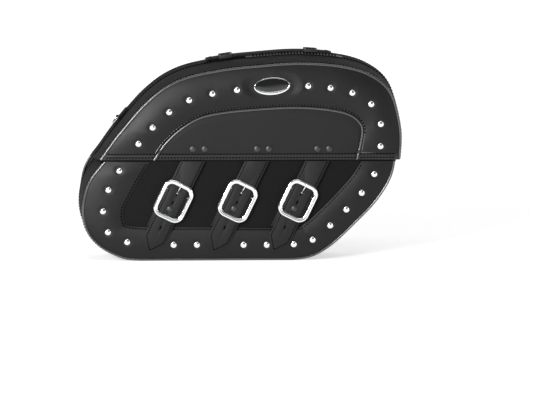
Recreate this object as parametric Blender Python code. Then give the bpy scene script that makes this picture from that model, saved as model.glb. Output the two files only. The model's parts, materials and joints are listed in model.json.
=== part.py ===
"""Slanted motorcycle saddlebag: a leather-covered box with a hinged lid, three buckled straps and a carry handle.

The bag faces -Y, +X points to the front of the machine, and the back face that bolts on lies in the plane Y = 0.
The origin is the middle of the bolt pattern on that face. Lengths are in metres.
"""

import math

import bmesh
import bpy
from mathutils import Matrix, Vector

# ---------------------------------------------------------------- driving dimensions
BAG_LENGTH = 0.588  # of the front outline of the body
BAG_HEIGHT = 0.362
BODY_DEPTH = 0.149  # from the back face to the outside of the front board
BOLT_HEIGHT = 0.200  # of the middle of the bolt pattern above the base
SEAM_HEIGHT = 0.189  # of the lid's lower edge above the base
FLARE = 0.020  # how much the outline grows at the top from the front to the back

GAP = 0.0003  # between pieces that touch
WALL = 0.0035  # side walls: leather over a plastic stiffener
BOARD = 0.003  # stiffener of the front and of the lid
BACK_BOARD = 0.0047
COVER = 0.0015  # leather on the back board
SKIN = 0.002  # leather panels
FRONT_BORDER = 0.003  # padded border of the body's front
LID_BORDER = 0.004
PILLOW = 0.0025  # chamfer round a padded border
WELT_RADIUS = 0.0024
BACK_WELT_PLAY = 0.0001  # between the back piping and the room beside the back board

LID_OVERHANG = 0.0095  # the lid's outline outside the body's
LID_GAP = 0.0034  # between the body's front panel and the lid's board
LIP = 0.028  # how far the body's walls rise inside the lid
HOOP_WIDTH = 0.048  # fixed rim behind the lid, from the back face
HINGE_SPLIT = 0.0015  # between the fixed rim and the lid
HINGE_LEATHER = 0.0015
HINGE_FLAP = 0.0075  # width of each half of the hinge leather
HINGE_SPAN = (0.015, 0.200)  # ends of the hinge leather along X
HEM_HEIGHT = 0.0120
HEM = 0.0035

BASE_INSET = 0.002  # of the loose board in the bottom, from the ends of the flat base
BOLT_SPACING = (0.180, 0.120)
INSERT_RADIUS = 0.007
INSERT_BORE = 0.0042
FLANGE_RADIUS = 0.016
FLANGE = 0.002

STRAP_WIDTH = 0.041
STRAP = 0.0022
STRAP_SLANT = math.radians(26)
STRAP_PLACES = (-0.148, 0.056, 0.248)  # of each strap's middle at the lid's lower edge, as shares of the length
STRAP_SHOULDER = 0.165  # from the hinge line to where the tip starts
STRAP_TIP = 0.1915
STRAP_HINGE_GAP = 0.0019
SLOT = (0.0032, 0.0080)  # width and length
SLOT_PLACES = (0.0875, 0.1395)
PRONG_SLOT_LENGTH = 0.0160
PRONG_SLOT_PLACE = 0.0650
TAIL_LENGTH = 0.034
RIVET_HEIGHT = 0.0212  # above the lid's lower edge
RIVET_SPACING = 0.022
RIVET_RADIUS = 0.0058
RIVET_SHANK = 0.002
RIVET_RISE = 0.0026
WASHER = 0.001  # behind each rivet

BUCKLE_LENGTH = 0.075
BUCKLE_PLAY = 0.0014  # between the strap and the frame at each side
BUCKLE_BAR = (0.0086, 0.0042)  # width and thickness of the frame
BUCKLE_CORNER = 0.016
BUCKLE_MIDDLE = 0.084  # from the hinge line
HEEL_BAR_RADIUS = 0.0014
HEEL_BAR_OFFSET = 0.017  # from the middle of the frame's top bar
LUG = (0.007, 0.0017)  # height along the strap, and how far past the heel bar's middle
PRONG_RADIUS = 0.0012
PRONG_EYE = (0.0017, 0.0029)  # inner and outer radius
PRONG_EYE_WIDTH = 0.0028
PRONG_RISE = 0.0085  # how far along the strap it takes to come up through it
PRONG_LAP = 0.0035  # past the middle of the frame's top bar
FRAME_LIFT = 0.0004  # between the strap and the buckle's frame

SNAP_PLACE = 0.1003  # from the hinge line
SNAP_CAP_RADIUS = 0.0059
SNAP_CAP_RISE = 0.0024
SNAP_SOCKET = (0.0044, 0.0066)  # inner and outer radius
SNAP_SOCKET_DEPTH = 0.0024
SNAP_SOCKET_FLOOR = 0.0007
SNAP_SHANK = (0.0025, 0.0029)  # radius of the cap's shank and of its hole
SNAP_POST_RADIUS = 0.0026
SNAP_FLANGE = (0.0055, 0.0008)  # radius and thickness
SNAP_NECK = 0.0020
TAB_START = 0.088  # top of the leather tab, from the hinge line along the strap
TAB_SHIFT = 0.004
TAB_LIFT = 0.002  # of its lower end over the border's inner edge

BADGE_PLACE = (0.102, 0.798)  # shares of the length, and of the lid's height above its lower edge
BADGE_SIZE = (0.068, 0.033)
BADGE = 0.0026
BADGE_RIM = 0.0042
BADGE_TILT = math.radians(4)  # its right end is the higher one

HANDLE_WIDTH = 0.025
HANDLE_STRAP = 0.002
HANDLE_GAP = 0.0028
HANDLE_SPAN = (-0.061, 0.180)
HANDLE_CLEARANCE = 0.00045  # between the sliders and the hinge leather
SLIDER_PLACES = (-0.022, 0.140)
SLIDER_LENGTH = 0.026
SLIDER_PLAY = 0.0010
SLIDER_RAIL = 0.0028
SLIDER_BAR = 0.0014
HANDLE_RIVET_INSET = 0.010
HANDLE_RIVET_RADIUS = 0.0045
HANDLE_RIVET_RISE = 0.0016

RING_HEIGHT = 0.262  # of the D-ring above the base
RING_WIRE = 0.0015
RING_WIDTH = 0.022
RING_REACH = 0.017
RING_PLAY = 0.0004
RING_TAB = 0.0014
RING_TAB_WIDTH = 0.017
RING_TAB_LENGTH = 0.024

MM = 0.001

# The body's front outline, from the right end of the flat base, up the right side, over the top and down
# the left, as shares of the length (from X = 0) and of the height (from the base).
OUTLINE = (
    (0.170, 0.000), (0.272, 0.050), (0.381, 0.207), (0.446, 0.323), (0.487, 0.440), (0.498, 0.552),
    (0.498, 0.690), (0.469, 0.858), (0.407, 0.944), (0.316, 0.986), (0.190, 1.000), (0.065, 0.987),
    (-0.062, 0.964), (-0.186, 0.915), (-0.278, 0.817), (-0.372, 0.646), (-0.429, 0.521), (-0.478, 0.417),
    (-0.500, 0.298), (-0.495, 0.185), (-0.461, 0.094), (-0.398, 0.028), (-0.318, 0.000), (-0.070, 0.000),
)
# The arched panel on the lid, from its left foot over to its right foot, as shares of the length and of the
# lid's height above its lower edge.
ARCH = (
    (-0.272, 0.000), (-0.238, 0.168), (-0.190, 0.324), (-0.128, 0.451), (-0.051, 0.509), (0.051, 0.543),
    (0.170, 0.564), (0.272, 0.543), (0.345, 0.491), (0.381, 0.399), (0.389, 0.283), (0.372, 0.000),
)
# The inner edge of the border on the body's front, from its left top round to its right top, as shares of
# the length and of the height of the lid's lower edge.
WINDOW = (
    (-0.282, 1.000), (-0.318, 0.820), (-0.350, 0.635), (-0.369, 0.519), (-0.369, 0.402), (-0.338, 0.341),
    (-0.128, 0.331), (0.162, 0.323), (0.207, 0.365), (0.255, 0.492), (0.318, 0.693), (0.361, 0.847),
    (0.391, 1.000),
)
WINDOW_FLOOR = 6  # which of those points lies on its straight lower edge

# ---------------------------------------------------------------- derived planes, all along Y
BOARD_REAR = -COVER - GAP
WALL_REAR = BOARD_REAR - BACK_BOARD - GAP
FRONT_BOARD_FACE = -BODY_DEPTH
PANEL_REAR = FRONT_BOARD_FACE - GAP
PANEL_FACE = PANEL_REAR - SKIN
FRONT_BORDER_REAR = PANEL_FACE - GAP
FRONT_BORDER_FACE = FRONT_BORDER_REAR - FRONT_BORDER
LID_BOARD_REAR = PANEL_FACE - LID_GAP
LID_BOARD_FACE = LID_BOARD_REAR - BOARD
STRAP_REAR = LID_BOARD_FACE - GAP
STRAP_FACE = STRAP_REAR - STRAP
LID_SKIN_REAR = STRAP_FACE - GAP
LID_PANEL_FACE = LID_SKIN_REAR - SKIN
LID_BORDER_FACE = LID_SKIN_REAR - LID_BORDER
LID_REAR = -HOOP_WIDTH - HINGE_SPLIT
HINGE_Y = -HOOP_WIDTH - HINGE_SPLIT / 2
STRAP_MIDDLE = (STRAP_REAR + STRAP_FACE) / 2
BACK_WELT_RADIUS = BACK_BOARD / 2 - BACK_WELT_PLAY
SLIDER_HALF_WIDTH = HANDLE_WIDTH / 2 + SLIDER_PLAY + SLIDER_RAIL
HANDLE_MIDDLE = HINGE_Y + HINGE_FLAP + HANDLE_CLEARANCE + SLIDER_HALF_WIDTH
WELT_ROOM = 2 * WELT_RADIUS + GAP
LID_HEIGHT = BAG_HEIGHT - SEAM_HEIGHT
BUCKLE_WIDTH = STRAP_WIDTH + 2 * (BUCKLE_PLAY + BUCKLE_BAR[0])

BASE = -BOLT_HEIGHT
SEAM = BASE + SEAM_HEIGHT

LEATHER = ("leather", (0.020, 0.020, 0.021), 0.45, 0.0)
PIPING = ("piping", (0.016, 0.016, 0.017), 0.30, 0.0)
PLASTIC = ("plastic_board", (0.030, 0.030, 0.032), 0.55, 0.0)
FOAM = ("foam", (0.10, 0.10, 0.10), 0.90, 0.0)
WEBBING = ("webbing", (0.015, 0.015, 0.016), 0.80, 0.0)
MOULDED = ("moulded_plastic", (0.020, 0.020, 0.021), 0.40, 0.0)
CHROME = ("chrome", (0.85, 0.86, 0.88), 0.08, 1.0)
BLACK_METAL = ("black_metal", (0.03, 0.03, 0.03), 0.35, 0.6)
STEEL = ("zinc_steel", (0.60, 0.61, 0.63), 0.30, 1.0)
ENAMEL = ("black_enamel", (0.010, 0.010, 0.011), 0.12, 0.0)


# ---------------------------------------------------------------- outlines
def spline(points, steps, closed):
    """Points on a smooth curve through the given ones, steps of them for each stretch."""
    count = len(points)
    found = []
    for i in range(count if closed else count - 1):
        around = [i - 1, i, i + 1, i + 2]
        if closed:
            a, b, c, d = (Vector(points[k % count]) for k in around)
        else:
            a, b, c, d = (Vector(points[min(max(k, 0), count - 1)]) for k in around)
        for k in range(steps):
            t = k / steps
            found.append(
                0.5 * (2 * b + (c - a) * t + (2 * a - 5 * b + 4 * c - d) * t * t + (3 * b - a - 3 * c + d) * t**3)
            )
    return found if closed else found + [Vector(points[-1])]


def stations():
    """(point, outward normal) round the body's front outline, in X and Z."""
    scaled = [(u * BAG_LENGTH, v * BAG_HEIGHT) for u, v in OUTLINE]
    curve = [Vector((p.x, max(p.y, 0.0) + BASE)) for p in spline(scaled, 3, True)]
    found = []
    for i, p in enumerate(curve):
        along = curve[(i + 1) % len(curve)] - curve[i - 1]
        found.append((p, Vector((along.y, -along.x)).normalized()))
    return found


STATIONS = stations()


def flare(y, normal):
    """How far the wall stands outside the front outline at depth y. The base has none, so it stands flat."""
    return FLARE * (1 + y / BODY_DEPTH) * (1 + normal.y) / 2


def ring(offset, y):
    """The outline offset outwards by a length, at depth y."""
    found = []
    for p, n in STATIONS:
        q = p + n * (offset + flare(y, n))
        found.append(Vector((q.x, y, q.y)))
    return found


def back_ring(inset, y):
    """The back board's outline: the lid's above the lid's lower edge, and the body's well below it."""
    found = []
    for p, n in STATIONS:
        t = min(max((p.y - SEAM + 0.07) / 0.07, 0.0), 1.0)
        q = p + n * (LID_OVERHANG * t * t * (3 - 2 * t) - inset + flare(y, n))
        found.append(Vector((q.x, y, q.y)))
    return found


def grown(points, reach):
    """An open curve of X and Z points moved to its left, or to its right where reach is negative."""
    found = []
    for i, p in enumerate(points):
        along = (points[min(i + 1, len(points) - 1)] - points[max(i - 1, 0)]).normalized()
        found.append(p + Vector((-along.y, along.x)) * reach)
    return found


# ---------------------------------------------------------------- modelling helpers
def material_of(finish):
    name, colour, roughness, metallic = finish
    found = bpy.data.materials.get(name)
    if found is None:
        found = bpy.data.materials.new(name)
        found.use_nodes = True
        shader = found.node_tree.nodes["Principled BSDF"]
        shader.inputs["Base Color"].default_value = (*colour, 1.0)
        shader.inputs["Roughness"].default_value = roughness
        shader.inputs["Metallic"].default_value = metallic
        found.diffuse_color = (*colour, 1.0)
    return found


def node(name, bm, finish, parent=None, smooth=True):
    """A named object from a bmesh. The mesh is in the frame of its parent, or in the row frame without one."""
    bmesh.ops.recalc_face_normals(bm, faces=bm.faces)
    mesh = bpy.data.meshes.new(name)
    bm.to_mesh(mesh)
    bm.free()
    if smooth:
        mesh.shade_smooth()
        mesh.set_sharp_from_angle(angle=math.radians(35))
    made = bpy.data.objects.new(name, mesh)
    bpy.context.scene.collection.objects.link(made)
    mesh.materials.append(material_of(finish))
    made.parent = parent
    return made


def helper(made):
    """Marks an object as a cutter or as stock for a union, which is not a part of the bag."""
    made.hide_render = True
    made.display_type = "WIRE"
    return made


def boolean(target, other, operation):
    modifier = target.modifiers.new(operation.lower(), "BOOLEAN")
    modifier.object = helper(other)
    modifier.operation = operation
    modifier.solver = "EXACT"


def skinned(loops, closed=False):
    """A skin over loops of equal count: a closed tube if closed is set, and otherwise a body with flat ends."""
    bm = bmesh.new()
    rows = [[bm.verts.new(p) for p in points] for points in loops]
    pairs = list(zip(rows, rows[1:] + rows[:1])) if closed else list(zip(rows, rows[1:]))
    for near, far in pairs:
        for i in range(len(near)):
            bm.faces.new((near[i - 1], near[i], far[i], far[i - 1]))
    if not closed:
        bm.faces.new(rows[0])
        bm.faces.new(reversed(rows[-1]))
    return bm


def cropped(bm, point, keep):
    """Cuts the solid with a plane through point, keeps the side that keep points to, and closes the cut."""
    bmesh.ops.bisect_plane(
        bm,
        geom=bm.verts[:] + bm.edges[:] + bm.faces[:],
        plane_co=point,
        plane_no=-Vector(keep),
        clear_outer=True,
    )
    rim = [e for e in bm.edges if len(e.link_faces) == 1]
    bmesh.ops.holes_fill(bm, edges=rim, sides=0)
    return bm


def band(outer, inner, front, rear):
    """A wall between two offsets of the outline, from depth front to depth rear."""
    return skinned([ring(outer, front), ring(outer, rear), ring(inner, rear), ring(inner, front)], closed=True)


def padded_plate(outline_of, inset, rear, face, pillow):
    """A plate whose face has its edge drawn in, as padded leather has."""
    return skinned(
        [outline_of(-inset, rear), outline_of(-inset, face + pillow), outline_of(-inset - pillow, face)]
    )


def prism(points, rear, face):
    """A flat outline of X and Z points, extruded from depth rear to depth face."""
    return skinned([[Vector((p[0], rear, p[1])) for p in points], [Vector((p[0], face, p[1])) for p in points]])


def box(low, high):
    bm = bmesh.new()
    size = Vector(high) - Vector(low)
    middle = (Vector(high) + Vector(low)) / 2
    bmesh.ops.create_cube(bm, size=1.0, matrix=Matrix.Translation(middle) @ Matrix.Diagonal((*size, 1.0)))
    return bm


def turned(profile, steps=12):
    """A solid turned about the Y axis from (radius, y) points that start and end on the axis."""
    bm = bmesh.new()
    verts = [bm.verts.new((r, y, 0.0)) for r, y in profile]
    edges = [bm.edges.new(pair) for pair in zip(verts, verts[1:])]
    bmesh.ops.spin(
        bm,
        geom=verts + edges,
        cent=(0, 0, 0),
        axis=(0, 1, 0),
        angle=2 * math.pi,
        steps=steps,
        use_merge=True,
    )
    bmesh.ops.remove_doubles(bm, verts=bm.verts, dist=1e-6)
    return bm


def cylinder(radius, start, end, sides=20):
    start, end = Vector(start), Vector(end)
    bm = bmesh.new()
    turn = (end - start).to_track_quat("Z", "Y").to_matrix().to_4x4()
    bmesh.ops.create_cone(
        bm,
        cap_ends=True,
        segments=sides,
        radius1=radius,
        radius2=radius,
        depth=(end - start).length,
        matrix=Matrix.Translation((start + end) / 2) @ turn,
    )
    return bm


def moved(bm, place):
    bmesh.ops.translate(bm, verts=bm.verts, vec=Vector(place))
    return bm


def tube(name, points, radius, finish, closed, parent=None, resolution=1):
    """A round cord through points, as a curve with a bevel."""
    curve = bpy.data.curves.new(name, "CURVE")
    curve.dimensions = "3D"
    curve.bevel_depth = radius
    curve.bevel_resolution = resolution
    curve.use_fill_caps = True
    line = curve.splines.new("POLY")
    line.points.add(len(points) - 1)
    for place, p in zip(line.points, points):
        place.co = (*p, 1.0)
    line.use_cyclic_u = closed
    curve.materials.append(material_of(finish))
    made = bpy.data.objects.new(name, curve)
    bpy.context.scene.collection.objects.link(made)
    made.parent = parent
    return made


def axis(name, place, turn=0.0, parent=None):
    """An empty on a joint's axis, turned about Y."""
    made = bpy.data.objects.new(name, None)
    bpy.context.scene.collection.objects.link(made)
    made.empty_display_size = 0.02
    made.location = place
    made.rotation_euler = (0.0, turn, 0.0)
    made.parent = parent
    return made


def on_axis(made, empty):
    """Parents a piece whose mesh is in the row frame, and leaves it where it is."""
    made.parent = empty
    made.location = -Vector(empty.location)
    return made


def above(points, level):
    """The run of ring points above a level, in order, as one open stretch."""
    count = len(points)
    first = next(i for i in range(count) if points[i].z > level >= points[i - 1].z)
    run = []
    for k in range(count):
        p = points[(first + k) % count]
        if p.z <= level:
            break
        run.append(p)
    return run


def below(points, level):
    return [Vector((p.x, p.y, -p.z)) for p in above([Vector((q.x, q.y, -q.z)) for q in points], -level)]


def rounded_rectangle(width, height, radius, steps=4):
    """X and Z points round a rectangle with round corners."""
    found = []
    for k, (sx, sz) in enumerate(((1, 1), (-1, 1), (-1, -1), (1, -1))):
        for i in range(steps + 1):
            turn = math.pi / 2 * (k + i / steps)
            found.append(
                (
                    sx * (width / 2 - radius) + radius * math.cos(turn),
                    sz * (height / 2 - radius) + radius * math.sin(turn),
                )
            )
    return found


# ---------------------------------------------------------------- the body
def bolt_places():
    return [
        Vector((sx * BOLT_SPACING[0] / 2, 0.0, sz * BOLT_SPACING[1] / 2)) for sx in (-1, 1) for sz in (-1, 1)
    ]


def make_back():
    room = 2 * BACK_WELT_RADIUS + 2 * GAP
    board = skinned([back_ring(room, WALL_REAR + GAP), back_ring(room, BOARD_REAR)])
    board = node("back_board", board, PLASTIC)
    cover = node("back_cover", skinned([back_ring(MM, -COVER), back_ring(MM, 0.0)]), LEATHER)
    middle = (BOARD_REAR + WALL_REAR + GAP) / 2
    tube("back_welt", back_ring(BACK_WELT_RADIUS + GAP / 2, middle), BACK_WELT_RADIUS, PIPING, True)
    for i, place in enumerate(bolt_places()):
        hole = cylinder(INSERT_RADIUS + GAP, place + Vector((0, 0.01, 0)), place + Vector((0, -0.02, 0)), 24)
        cutter = node(f"bolt_hole_{i + 1}", hole, STEEL)
        boolean(board, cutter, "DIFFERENCE")
        boolean(cover, cutter, "DIFFERENCE")
        insert = turned(
            (
                (INSERT_BORE, 0.0),
                (INSERT_RADIUS, 0.0),
                (INSERT_RADIUS, WALL_REAR),
                (FLANGE_RADIUS, WALL_REAR),
                (FLANGE_RADIUS - MM, WALL_REAR - FLANGE),
                (INSERT_BORE, WALL_REAR - FLANGE),
                (INSERT_BORE, 0.0),
            ),
            24,
        )
        node(f"mount_insert_{i + 1}", moved(insert, place), STEEL)


def make_walls():
    wall = band(0.0, -WALL, FRONT_BOARD_FACE, WALL_REAR)
    node("gusset", cropped(wall, (0, 0, SEAM + LIP), (0, 0, -1)), LEATHER)
    hoop = band(LID_OVERHANG, LID_OVERHANG - WALL, -HOOP_WIDTH, WALL_REAR)
    node("rear_hoop", cropped(hoop, (0, 0, SEAM), (0, 0, 1)), LEATHER)
    floor = BASE + WALL + GAP
    flat = [u * BAG_LENGTH for u, v in OUTLINE if v == 0.0]
    ends = (min(flat) + BASE_INSET, max(flat) - BASE_INSET)
    front, rear = FRONT_BOARD_FACE + BOARD + MM, WALL_REAR - FLANGE - MM
    node("base_board", box((ends[0], front, floor), (ends[1], rear, floor + BOARD)), PLASTIC)


def make_front():
    board = skinned([ring(-WALL - GAP, FRONT_BOARD_FACE + BOARD), ring(-WALL - GAP, FRONT_BOARD_FACE)])
    node("front_board", cropped(board, (0, 0, SEAM + LIP), (0, 0, -1)), PLASTIC)
    panel = skinned([ring(-WELT_ROOM, PANEL_REAR), ring(-WELT_ROOM, PANEL_FACE)])
    node("front_panel", cropped(panel, (0, 0, SEAM + LIP - MM), (0, 0, -1)), LEATHER)
    border = padded_plate(ring, WELT_ROOM, FRONT_BORDER_REAR, FRONT_BORDER_FACE, PILLOW)
    edge = node("front_border", cropped(border, (0, 0, SEAM - 3 * MM), (0, 0, -1)), LEATHER)
    window = [Vector((u * BAG_LENGTH, BASE + v * SEAM_HEIGHT)) for u, v in spline(WINDOW, 2, False)]
    window = [window[0] + Vector((0, 0.02))] + window + [window[-1] + Vector((0, 0.02))]
    cutter = node("front_window", prism(window, FRONT_BORDER_REAR + MM, FRONT_BORDER_FACE - MM), LEATHER)
    boolean(edge, cutter, "DIFFERENCE")
    seat = PANEL_REAR - WELT_RADIUS
    tube("front_welt", below(ring(-WELT_RADIUS, seat), SEAM - 3 * MM), WELT_RADIUS - GAP / 2, PIPING, False)


# ---------------------------------------------------------------- the lid
def hinge_line():
    """Where the lid turns: over the highest point of the hinge leather."""
    top = max(p.z for p in ring(LID_OVERHANG + GAP + HINGE_LEATHER, HINGE_Y))
    return Vector((0.0, HINGE_Y, top + GAP))


def arch_curve():
    return [Vector((u * BAG_LENGTH, SEAM + v * LID_HEIGHT)) for u, v in spline(ARCH, 3, False)]


def foot_to_foot(curve):
    """Closes an arch below the hem, so that it can be cropped there."""
    return curve + [curve[-1] - Vector((0, 0.01)), curve[0] - Vector((0, 0.01))]


def make_lid(lid):
    shell = band(LID_OVERHANG, LID_OVERHANG - WALL, LID_BOARD_FACE, LID_REAR)
    on_axis(node("lid_band", cropped(shell, (0, 0, SEAM), (0, 0, 1)), LEATHER), lid)
    fit = LID_OVERHANG - WALL - GAP
    board = cropped(skinned([ring(fit, LID_BOARD_REAR), ring(fit, LID_BOARD_FACE)]), (0, 0, SEAM), (0, 0, 1))
    board = on_axis(node("lid_board", board, PLASTIC), lid)
    hem_top = SEAM + HEM_HEIGHT
    inside = LID_OVERHANG - WELT_ROOM
    foam = cropped(skinned([ring(inside, STRAP_REAR), ring(inside, STRAP_FACE)]), (0, 0, SEAM + MM), (0, 0, 1))
    foam = on_axis(node("lid_foam", foam, FOAM), lid)
    border = padded_plate(ring, -inside, LID_SKIN_REAR, LID_BORDER_FACE, PILLOW)
    border = on_axis(node("lid_border", cropped(border, (0, 0, hem_top + GAP), (0, 0, 1)), LEATHER), lid)
    arch = arch_curve()
    opening = prism(foot_to_foot(grown(arch, WELT_ROOM / 2)), LID_SKIN_REAR + MM, LID_BORDER_FACE - MM)
    boolean(border, on_axis(node("arch_opening", opening, LEATHER), lid), "DIFFERENCE")
    panel = prism(foot_to_foot(grown(arch, -WELT_ROOM / 2)), LID_SKIN_REAR, LID_PANEL_FACE)
    panel = on_axis(node("lid_panel", cropped(panel, (0, 0, hem_top + GAP), (0, 0, 1)), LEATHER), lid)
    hem = skinned([ring(inside, LID_SKIN_REAR), ring(inside, LID_SKIN_REAR - HEM)])
    hem = cropped(hem, (0, 0, SEAM), (0, 0, 1))
    on_axis(node("lid_hem", cropped(hem, (0, 0, hem_top), (0, 0, -1)), LEATHER), lid)
    cord = [Vector((p.x, LID_SKIN_REAR - WELT_RADIUS, p.y)) for p in arch if p.y > hem_top + WELT_RADIUS]
    on_axis(tube("arch_welt", cord, WELT_RADIUS - GAP / 2, PIPING, False), lid)
    seat = LID_BOARD_FACE - GAP - WELT_RADIUS
    rim = above(ring(LID_OVERHANG - WELT_RADIUS, seat), SEAM + MM)
    on_axis(tube("lid_welt", rim, WELT_RADIUS - GAP / 2, PIPING, False), lid)
    return board, foam, panel


def make_hinge(lid):
    outside = LID_OVERHANG + GAP
    halves = (
        ("hinge_leather_rear", HINGE_Y + GAP, HINGE_Y + HINGE_FLAP, None),
        ("hinge_leather_lid", HINGE_Y - HINGE_FLAP, HINGE_Y - GAP, lid),
    )
    for name, front, rear, empty in halves:
        flap = band(outside + HINGE_LEATHER, outside, front, rear)
        cropped(flap, (HINGE_SPAN[0], 0, 0), (1, 0, 0))
        cropped(flap, (HINGE_SPAN[1], 0, 0), (-1, 0, 0))
        made = node(name, cropped(flap, (0, 0, 0), (0, 0, 1)), LEATHER)
        if empty:
            on_axis(made, empty)


def make_badge(lid):
    place = Vector((BADGE_PLACE[0] * BAG_LENGTH, LID_BORDER_FACE - GAP, SEAM + BADGE_PLACE[1] * LID_HEIGHT))
    shares = [2 * math.pi * k / 32 for k in range(32)]

    turn = Matrix.Rotation(-BADGE_TILT, 3, "Y")

    def oval(inset, y):
        wide, high = BADGE_SIZE[0] / 2 - inset, BADGE_SIZE[1] / 2 - inset
        return [turn @ Vector((wide * math.cos(a), y, high * math.sin(a))) for a in shares]

    rim = [oval(0, 0), oval(0, -BADGE * 0.6), oval(MM, -BADGE)]
    plate = skinned(rim + [oval(BADGE_RIM, -BADGE), oval(BADGE_RIM, -BADGE / 2)])
    on_axis(node("badge_plate", moved(plate, place), CHROME), lid)
    fill = skinned([oval(BADGE_RIM + GAP, -BADGE / 2 - GAP), oval(BADGE_RIM + GAP, -BADGE * 0.85)])
    on_axis(node("badge_inlay", moved(fill, place), ENAMEL), lid)


# ---------------------------------------------------------------- straps
def dome(radius, rear, rise):
    """(radius, y) points over a low dome that stands on depth rear and faces -Y."""
    return [
        (radius, rear),
        (radius, rear - rise * 0.25),
        (radius * 0.8, rear - rise * 0.7),
        (radius * 0.45, rear - rise * 0.95),
        (0.0, rear - rise),
    ]


def strap_places():
    """X of each strap's middle at the lid's lower edge."""
    return [share * BAG_LENGTH for share in STRAP_PLACES]


def make_strap_roots(lid, board, foam, panel):
    """The riveted end of each strap, between the lid's board and its leather, and its two rivets."""
    shear = math.tan(STRAP_SLANT)
    half = STRAP_WIDTH / 2 / math.cos(STRAP_SLANT)
    low = SEAM
    high = SEAM + TAIL_LENGTH
    for i, x in enumerate(strap_places()):
        lean = (high - low) * shear
        corners = [(x - half, low), (x + half, low), (x + half + lean, high), (x - half + lean, high)]
        root = on_axis(node(f"strap_root_{i + 1}", prism(corners, STRAP_REAR, STRAP_FACE), LEATHER), lid)
        room = [
            (x - half - MM, low - MM),
            (x + half + MM, low - MM),
            (x + half + MM + lean, high + MM),
            (x - half - MM + lean, high + MM),
        ]
        pocket = node(f"strap_pocket_{i + 1}", prism(room, STRAP_REAR + MM, STRAP_FACE - MM), FOAM)
        boolean(foam, on_axis(pocket, lid), "DIFFERENCE")
        for k, side in enumerate((-1, 1)):
            place = Vector((x + RIVET_HEIGHT * shear + side * RIVET_SPACING / 2, 0.0, SEAM + RIVET_HEIGHT))
            rivet = turned(
                [
                    (0.0, LID_BOARD_REAR + GAP + WASHER),
                    (RIVET_RADIUS * 0.8, LID_BOARD_REAR + GAP + WASHER),
                    (RIVET_RADIUS * 0.8, LID_BOARD_REAR + GAP),
                    (RIVET_SHANK, LID_BOARD_REAR + GAP),
                    (RIVET_SHANK, LID_PANEL_FACE - GAP),
                ]
                + dome(RIVET_RADIUS, LID_PANEL_FACE - GAP, RIVET_RISE),
                16,
            )
            on_axis(node(f"strap_rivet_{2 * i + k + 1}", moved(rivet, place), BLACK_METAL), lid)
            drill = cylinder(
                RIVET_SHANK + GAP,
                (place.x, LID_BOARD_REAR + MM, place.z),
                (place.x, LID_PANEL_FACE - MM, place.z),
                12,
            )
            drill = on_axis(node(f"rivet_hole_{2 * i + k + 1}", drill, STEEL), lid)
            for leather in (board, root, panel):
                boolean(leather, drill, "DIFFERENCE")


def level(height):
    """Y in a strap's own frame of a height above its face. The hinge line is in the middle of the leather."""
    return -(height + STRAP / 2)


def slot_outline(middle, width, length):
    return [(x, z - middle) for x, z in rounded_rectangle(width, length, width / 2 - 1e-5, 3)]


def make_strap(i, hinge):
    half = STRAP_WIDTH / 2
    lean, upright = math.sin(STRAP_SLANT), math.cos(STRAP_SLANT)
    tops = [(x, (x * lean - STRAP_HINGE_GAP / 2) / upright) for x in (half, -half)]
    outline = tops + [(-half, -STRAP_SHOULDER), (0.0, -STRAP_TIP), (half, -STRAP_SHOULDER)]
    strap = node(f"strap_{i}", prism(outline, level(-STRAP), level(0.0)), LEATHER, hinge, smooth=False)
    slots = [(PRONG_SLOT_PLACE, PRONG_SLOT_LENGTH)] + [(place, SLOT[1]) for place in SLOT_PLACES]
    for k, (place, length) in enumerate(slots):
        slot = prism(slot_outline(place, SLOT[0], length), level(-STRAP - MM), level(MM))
        boolean(strap, node(f"slot_{i}_{k + 1}", slot, LEATHER, hinge), "DIFFERENCE")
    bore = cylinder(SNAP_SHANK[1], (0, level(-STRAP - MM), -SNAP_PLACE), (0, level(MM), -SNAP_PLACE), 16)
    boolean(strap, node(f"snap_bore_{i}", bore, LEATHER, hinge), "DIFFERENCE")


def make_snap_cap(i, hinge):
    """The cap on the strap's face, its shank and the socket behind, turned as one piece."""
    behind = level(-STRAP - GAP)
    cap = turned(
        [
            (0.0, behind + SNAP_SOCKET_FLOOR),
            (SNAP_SOCKET[0], behind + SNAP_SOCKET_FLOOR),
            (SNAP_SOCKET[0], behind + SNAP_SOCKET_DEPTH),
            (SNAP_SOCKET[1], behind + SNAP_SOCKET_DEPTH),
            (SNAP_SOCKET[1], behind),
            (SNAP_SHANK[0], behind),
            (SNAP_SHANK[0], level(GAP)),
        ]
        + dome(SNAP_CAP_RADIUS, level(GAP), SNAP_CAP_RISE),
        20,
    )
    node(f"snap_cap_{i}", moved(cap, (0, 0, -SNAP_PLACE)), BLACK_METAL, hinge)


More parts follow.
